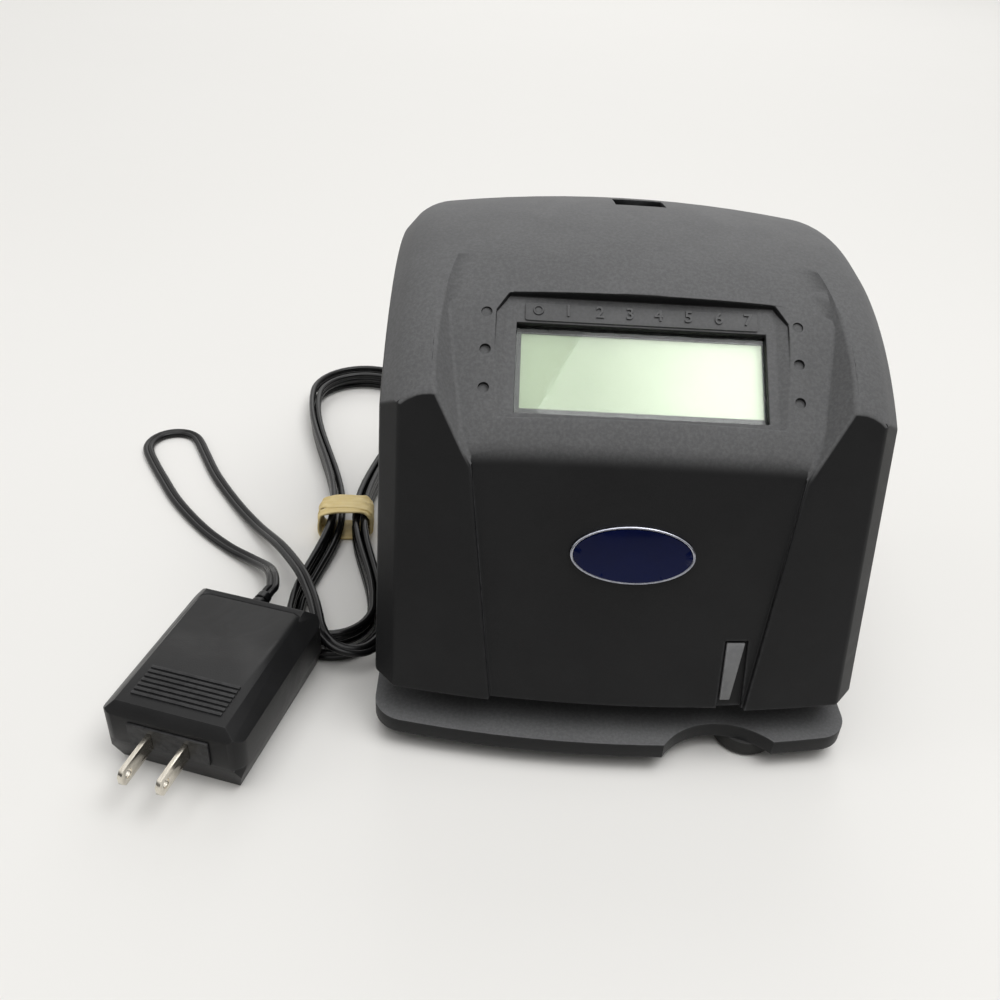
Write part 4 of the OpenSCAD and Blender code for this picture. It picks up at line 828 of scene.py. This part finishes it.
def placed(tree, group, **values):
    node = addNode(tree, "ShaderNodeGroup", node_tree=group)
    for label, value in values.items():
        feed(tree, node.inputs[label.capitalize()], value)
    return node.outputs


vectorIn, valueIn = ("Vector", "NodeSocketVector"), "NodeSocketFloat"

# fine moulded grain and slow changes of tone; Size is the grain in millimetres
mouldGrain, start, end = newGroup("mouldGrain", [vectorIn, ("Size", valueIn)], ["Height", "Tone"])
grainRate = maths(mouldGrain, "DIVIDE", 1000.0, start["Size"])
feed(mouldGrain, end["Height"], noiseField(mouldGrain, start["Vector"], grainRate, 3.0, 0.6))
slowTone = noiseField(mouldGrain, start["Vector"], 38.0, 4.0, 0.6)
feed(mouldGrain, end["Tone"], ramped(mouldGrain, slowTone, 0.3, 0.7))

# rubbed edges and painted edge highlights: convex edges are lightened, broken up by noise; Width is in metres
edgeRub, start, end = newGroup("edgeRub", [vectorIn, ("Width", valueIn)], ["Mask"])
shade = addNode(edgeRub, "ShaderNodeAmbientOcclusion", samples=8, inside=True, only_local=True)
feed(edgeRub, shade.inputs["Distance"], start["Width"])
convexEdges = ramped(edgeRub, shade.outputs["AO"], 0.93, 0.5)
broken = ramped(edgeRub, noiseField(edgeRub, start["Vector"], 420.0, 3.0, 0.65), 0.32, 0.62, 0.25, 1.0)
feed(edgeRub, end["Mask"], maths(edgeRub, "MULTIPLY", convexEdges, broken))

# a thin film of dust on what faces up, and painted light: the same mask lightens the tops as light from above
# would
dustFilm, start, end = newGroup("dustFilm", [vectorIn], ["Mask"])
facing = addNode(dustFilm, "ShaderNodeSeparateXYZ")
feed(dustFilm, facing.inputs[0], addNode(dustFilm, "ShaderNodeNewGeometry").outputs["Normal"])
upward = ramped(dustFilm, facing.outputs["Z"], 0.3, 0.55)
speckle = ramped(dustFilm, noiseField(dustFilm, start["Vector"], 900.0, 4.0, 0.7), 0.35, 0.7, 0.75, 1.0)
cloud = ramped(dustFilm, noiseField(dustFilm, start["Vector"], 26.0, 3.0, 0.6, 0.6), 0.3, 0.7, 0.9, 1.0)
feed(dustFilm, end["Mask"], maths(dustFilm, "MULTIPLY", upward, maths(dustFilm, "MULTIPLY", speckle, cloud)))

# hand marks that change the gloss
handMarks, start, end = newGroup("handMarks", [vectorIn], ["Mask"])
smear = noiseField(handMarks, start["Vector"], 45.0, 4.0, 0.6, 1.4)
feed(handMarks, end["Mask"], ramped(handMarks, smear, 0.42, 0.68))

# lines of a brushed or drawn metal; Vector comes stretched
drawnLines, start, end = newGroup("drawnLines", [vectorIn], ["Height", "Tone"])
lineField = noiseField(drawnLines, start["Vector"], 1.0, 4.0, 0.7)
feed(drawnLines, end["Height"], lineField)
feed(drawnLines, end["Tone"], ramped(drawnLines, lineField, 0.3, 0.7))
print("effects made")


# one finish for each slot; lengths in millimetres, colours linear
# pale grey of dust, used also as painted light on the tops
dustAndTopLightColour = (0.15, 0.151, 0.154)
plastics = {
    # the case and the day strip get much of it, as painted light on their tops
    "case_plastic": {"dark": (0.007, 0.0071, 0.0077), "light": (0.009, 0.0092, 0.0098),
                     "rough": 0.46, "marks": 0.05,
                     "grain": 0.45, "depth": 0.045, "rub": 0.5, "rubColour": (0.06, 0.061, 0.064),
                     "dust": 0.85, "specular": 0.2},
    "strip_plastic": {"dark": (0.016, 0.0162, 0.017), "light": (0.022, 0.0222, 0.0232),
                      "rough": 0.44, "marks": 0.06,
                      "grain": 0.45, "depth": 0.03, "rub": 0.85, "rubWidth": 0.3,
                      "rubColour": (0.17, 0.171, 0.175),
                      "dust": 0.55, "specular": 0.3},
    "inner_plastic": {"dark": (0.035, 0.035, 0.037), "light": (0.05, 0.05, 0.053),
                      "rough": 0.5, "marks": 0.08,
                      "grain": 0.8, "depth": 0.03, "rub": 0.3, "rubColour": (0.12, 0.12, 0.125),
                      "dust": 0.15, "specular": 0.4},
    "black_plastic": {"dark": (0.006, 0.006, 0.0064), "light": (0.009, 0.009, 0.0095),
                      "rough": 0.38, "marks": 0.08,
                      "grain": 0.5, "depth": 0.04, "rub": 0.45, "rubColour": (0.06, 0.06, 0.062),
                      "dust": 0.03, "specular": 0.22},
    "white_plastic": {"dark": (0.62, 0.61, 0.57), "light": (0.72, 0.71, 0.68),
                      "rough": 0.42, "marks": 0.1,
                      "grain": 0.6, "depth": 0.02, "rub": 0.3, "rubColour": (0.8, 0.8, 0.78),
                      "dust": 0.05, "specular": 0.5},
    "mark_grey": {"dark": (0.115, 0.117, 0.12), "light": (0.14, 0.142, 0.146),
                  "rough": 0.45, "marks": 0.1,
                  "grain": 0.4, "depth": 0.03, "rub": 0.35, "rubColour": (0.24, 0.24, 0.245),
                  "dust": 0.1, "specular": 0.4},
    "foot_rubber": {"dark": (0.012, 0.012, 0.012), "light": (0.022, 0.022, 0.021),
                    "rough": 0.75, "marks": 0.08,
                    "grain": 0.7, "depth": 0.05, "rub": 0.3, "rubColour": (0.05, 0.05, 0.049),
                    "dust": 0.2, "specular": 0.3},
    "lead_rubber": {"dark": (0.0025, 0.0025, 0.0028), "light": (0.0045, 0.0045, 0.005),
                    "rough": 0.22, "marks": 0.08,
                    "grain": 1.6, "depth": 0.03, "rub": 0.04, "rubColour": (0.02, 0.02, 0.021),
                    "dust": 0.01, "specular": 0.24},
    "band_tan": {"dark": (0.56, 0.41, 0.15), "light": (0.80, 0.64, 0.29),
                 "rough": 0.55, "marks": 0.12,
                 "grain": 0.9, "depth": 0.06, "rub": 0.5, "rubColour": (0.78, 0.64, 0.36),
                 "dust": 0.05, "specular": 0.35},
}
metals = {
    "plate_steel": {"dark": (0.38, 0.39, 0.41), "light": (0.55, 0.56, 0.58), "rough": 0.34,
                    "lines": (500, 90, 90)},
    "ground_steel": {"dark": (0.5, 0.51, 0.53), "light": (0.66, 0.67, 0.69), "rough": 0.2,
                     "lines": (1800, 120, 120)},
    "screw_steel": {"dark": (0.42, 0.43, 0.45), "light": (0.58, 0.59, 0.61), "rough": 0.3,
                    "lines": (700, 700, 300)},
    "lock_chrome": {"dark": (0.62, 0.63, 0.65), "light": (0.78, 0.79, 0.81), "rough": 0.14,
                    "lines": (600, 600, 200)},
    "badge_silver": {"dark": (0.3, 0.31, 0.36), "light": (0.44, 0.45, 0.5), "rough": 0.26,
                     "lines": (400, 400, 400)},
    "blade_nickel": {"dark": (0.6, 0.56, 0.48), "light": (0.78, 0.74, 0.66), "rough": 0.2,
                     "lines": (1500, 180, 900)},
    "bush_bronze": {"dark": (0.42, 0.27, 0.1), "light": (0.62, 0.44, 0.2), "rough": 0.34,
                    "lines": (900, 300, 300)},
    "head_metal": {"dark": (0.3, 0.31, 0.33), "light": (0.44, 0.45, 0.47), "rough": 0.42,
                   "lines": (600, 600, 600)},
}


def blankMaterial(name):
    material = bpy.data.materials.new(name)
    material.use_nodes = True
    tree = material.node_tree
    coords = addNode(tree, "ShaderNodeTexCoord").outputs["Object"]
    return material, tree, tree.nodes["Principled BSDF"], coords


def bumped(tree, shader, height, depth, strength=1.0):
    bump = addNode(tree, "ShaderNodeBump")
    bump.inputs["Strength"].default_value = strength
    bump.inputs["Distance"].default_value = depth / 1000
    feed(tree, bump.inputs["Height"], height)
    feed(tree, shader.inputs["Normal"], bump.outputs["Normal"])


def plasticMaterial(name, s):
    material, tree, shader, coords = blankMaterial(name)
    grain = placed(tree, mouldGrain, vector=coords, size=s["grain"])
    rubWidth = s.get("rubWidth", 1.2) / 1000
    rub = maths(tree, "MULTIPLY", placed(tree, edgeRub, vector=coords, width=rubWidth)["Mask"], s["rub"])
    dust = maths(tree, "MULTIPLY", placed(tree, dustFilm, vector=coords)["Mask"], s["dust"])
    marks = placed(tree, handMarks, vector=coords)["Mask"]
    colour = mixed(tree, grain["Tone"], s["dark"], s["light"])
    # convex edges lightened: rubbed wear, partly painted edge highlights
    colour = mixed(tree, rub, colour, s["rubColour"])
    # dust and painted top light lighten what faces up
    colour = mixed(tree, dust, colour, dustAndTopLightColour)
    feed(tree, shader.inputs["Base Color"], colour)
    rough = maths(tree, "MULTIPLY_ADD", marks, -s["marks"])
    rough.node.inputs[2].default_value = s["rough"] + s["marks"] / 2
    rough = maths(tree, "ADD", rough, maths(tree, "MULTIPLY", dust, 0.3), clamp=True)
    feed(tree, shader.inputs["Roughness"], rough)
    shader.inputs["Specular IOR Level"].default_value = s["specular"]
    bumped(tree, shader, grain["Height"], s["depth"])
    return material


def metalMaterial(name, s):
    material, tree, shader, coords = blankMaterial(name)
    lines = placed(tree, drawnLines, vector=stretched(tree, coords, s["lines"]))
    marks = placed(tree, handMarks, vector=coords)["Mask"]
    rub = placed(tree, edgeRub, vector=coords, width=0.0006)["Mask"]
    colour = mixed(tree, lines["Tone"], s["dark"], s["light"])
    # convex edges lightened: rubbed wear, partly painted edge highlights
    colour = mixed(tree, maths(tree, "MULTIPLY", rub, 0.4), colour, [min(1, c * 1.15) for c in s["light"]])
    feed(tree, shader.inputs["Base Color"], colour)
    shader.inputs["Metallic"].default_value = 1.0
    rough = maths(tree, "MULTIPLY_ADD", marks, 0.14)
    rough.node.inputs[2].default_value = s["rough"] - 0.04
    feed(tree, shader.inputs["Roughness"], rough)
    bumped(tree, shader, lines["Height"], 0.02)
    return material


def badgeMaterial(name):
    material, tree, shader, coords = blankMaterial(name)
    grain = placed(tree, mouldGrain, vector=coords, size=2.0)
    place = addNode(tree, "ShaderNodeSeparateXYZ")
    feed(tree, place.inputs[0], coords)
    # the blue is darker towards the top
    towardTop = ramped(tree, place.outputs["Z"], 0.066, 0.086)
    colour = mixed(tree, towardTop, (0.002, 0.005, 0.036), (0.0015, 0.003, 0.022))
    colour = mixed(tree, maths(tree, "MULTIPLY", grain["Tone"], 0.3), colour, (0.003, 0.007, 0.055))
    feed(tree, shader.inputs["Base Color"], colour)
    marks = placed(tree, handMarks, vector=coords)["Mask"]
    rough = maths(tree, "MULTIPLY_ADD", marks, 0.05)
    rough.node.inputs[2].default_value = 0.06
    feed(tree, shader.inputs["Roughness"], rough)
    shader.inputs["Specular IOR Level"].default_value = 0.1
    shader.inputs["Coat Weight"].default_value = 0.05
    shader.inputs["Coat Roughness"].default_value = 0.03
    return material


def displayMaterial(name):
    material, tree, shader, coords = blankMaterial(name)
    place = addNode(tree, "ShaderNodeSeparateXYZ")
    feed(tree, place.inputs[0], coords)
    slow = noiseField(tree, coords, 30.0, 3.0, 0.6, 0.8)
    sway = maths(tree, "MULTIPLY", maths(tree, "SUBTRACT", slow, 0.5), 0.02)
    across = maths(tree, "ADD", place.outputs["X"], sway)
    # painted reflection: the display grows lighter to the right, where the room's reflection would fall, with
    # slow noise wobbling its edge
    paintedReflection = ramped(tree, across, -0.024, 0.03)
    colour = mixed(tree, paintedReflection, (0.19, 0.235, 0.15), (0.40, 0.45, 0.34))
    fine = noiseField(tree, coords, 2600.0, 2.0, 0.6)
    colour = mixed(tree, maths(tree, "MULTIPLY", fine, 0.16), colour, (0.3, 0.33, 0.26))
    feed(tree, shader.inputs["Base Color"], colour)
    feed(tree, shader.inputs["Roughness"], ramped(tree, fine, 0.3, 0.7, 0.3, 0.42))
    shader.inputs["Specular IOR Level"].default_value = 0.25
    return material


def lensMaterial(name):
    material, tree, shader, coords = blankMaterial(name)
    shader.inputs["Base Color"].default_value = (0.93, 0.96, 0.94, 1)
    shader.inputs["Transmission Weight"].default_value = 1.0
    shader.inputs["IOR"].default_value = 1.28
    marks = placed(tree, handMarks, vector=coords)["Mask"]
    rough = maths(tree, "MULTIPLY_ADD", marks, 0.05)
    rough.node.inputs[2].default_value = 0.015
    feed(tree, shader.inputs["Roughness"], rough)
    through = addNode(tree, "ShaderNodeBsdfTransparent")
    mix = addNode(tree, "ShaderNodeMixShader")
    feed(tree, mix.inputs[0], addNode(tree, "ShaderNodeLightPath").outputs["Is Shadow Ray"])
    feed(tree, mix.inputs[1], shader.outputs[0])
    feed(tree, mix.inputs[2], through.outputs[0])
    feed(tree, tree.nodes["Material Output"].inputs["Surface"], mix.outputs[0])
    return material


def boardMaterial(name):
    material, tree, shader, coords = blankMaterial(name)
    tracks = addNode(tree, "ShaderNodeTexBrick", offset=0.37, squash=1.6, squash_frequency=3)
    turned = addNode(tree, "ShaderNodeMapping")
    turned.inputs["Rotation"].default_value = (math.radians(90), 0, 0)
    feed(tree, turned.inputs["Vector"], coords)
    feed(tree, tracks.inputs["Vector"], turned.outputs["Vector"])
    tracks.inputs["Scale"].default_value = 150.0
    tracks.inputs["Mortar Size"].default_value = 0.035
    grain = placed(tree, mouldGrain, vector=coords, size=0.5)
    colour = mixed(tree, grain["Tone"], (0.012, 0.085, 0.035), (0.02, 0.12, 0.05))
    colour = mixed(tree, tracks.outputs["Fac"], colour, (0.05, 0.24, 0.1))
    feed(tree, shader.inputs["Base Color"], colour)
    feed(tree, shader.inputs["Roughness"], ramped(tree, grain["Height"], 0.3, 0.7, 0.22, 0.36))
    bumped(tree, shader, tracks.outputs["Fac"], 0.04)
    return material


def ribbonMaterial(name):
    material, tree, shader, coords = blankMaterial(name)
    weave = addNode(tree, "ShaderNodeTexWave", bands_direction="X")
    cross = addNode(tree, "ShaderNodeTexWave", bands_direction="Y")
    for wave in (weave, cross):
        feed(tree, wave.inputs["Vector"], coords)
        wave.inputs["Scale"].default_value = 900.0
    threads = maths(tree, "MAXIMUM", weave.outputs["Fac"], cross.outputs["Fac"])
    feed(tree, shader.inputs["Base Color"], mixed(tree, threads, (0.008, 0.005, 0.03), (0.03, 0.02, 0.09)))
    feed(tree, shader.inputs["Roughness"], ramped(tree, threads, 0.0, 1.0, 0.75, 0.6))
    bumped(tree, shader, threads, 0.05)
    return material


def floorMaterial(name):
    material, tree, shader, coords = blankMaterial(name)
    slow = noiseField(tree, coords, 3.0, 3.0, 0.5)
    feed(tree, shader.inputs["Base Color"], mixed(tree, slow, (0.76, 0.75, 0.725), (0.80, 0.79, 0.77)))
    feed(tree, shader.inputs["Roughness"], ramped(tree, slow, 0.3, 0.7, 0.6, 0.7))
    shader.inputs["Specular IOR Level"].default_value = 0.25
    return material


# floor and background
clearSelection()
bpy.ops.mesh.primitive_plane_add(size=8, location=(0, 0, -0.0003))
floor = bpy.context.object
floor.name = "paleFloor"
floor.data.materials.append(floorMaterial("paleFloor"))

world = scene.world or bpy.data.worlds.new("studio")
scene.world = world
world.use_nodes = True
sky = world.node_tree.nodes["Background"]
room = world.node_tree
rays = addNode(room, "ShaderNodeLightPath").outputs
way = addNode(room, "ShaderNodeSeparateXYZ")
feed(room, way.inputs[0], addNode(room, "ShaderNodeTexCoord").outputs["Generated"])
# a gloss sees a pale room above and behind, and a dark one low in front
overhead, behind = ramped(room, way.outputs["Z"], 0.12, 0.5), ramped(room, way.outputs["Y"], -0.2, 0.4)
pale = maths(room, "MAXIMUM", overhead, behind)
gloss = maths(room, "MULTIPLY", rays["Is Glossy Ray"], ramped(room, pale, 0.0, 1.0, -0.2, 0.72))
straight = maths(room, "MAXIMUM", rays["Is Camera Ray"], rays["Is Transmission Ray"])
seen = maths(room, "MULTIPLY", straight, 0.52)
strength = maths(room, "ADD", maths(room, "ADD", gloss, seen), 0.28)
feed(room, sky.inputs["Strength"], strength)
sky.inputs["Color"].default_value = (1.0, 0.99, 0.97, 1)

materials = {name: plasticMaterial(name, s) for name, s in plastics.items()}
materials.update({name: metalMaterial(name, s) for name, s in metals.items()})
materials["badge_blue"] = badgeMaterial("badge_blue")
materials["lcd_grey"] = displayMaterial("lcd_grey")
materials["lens_clear"] = lensMaterial("lens_clear")
materials["board_green"] = boardMaterial("board_green")
materials["ribbon_ink"] = ribbonMaterial("ribbon_ink")

for nodeName, node in nodes.items():
    made.append((node, slotOf(nodeName)))
for piece, slot in made:
    piece.data.materials.clear()
    piece.data.materials.append(materials[slot])
print("materials given to", len(made), "pieces")

print("scene done")
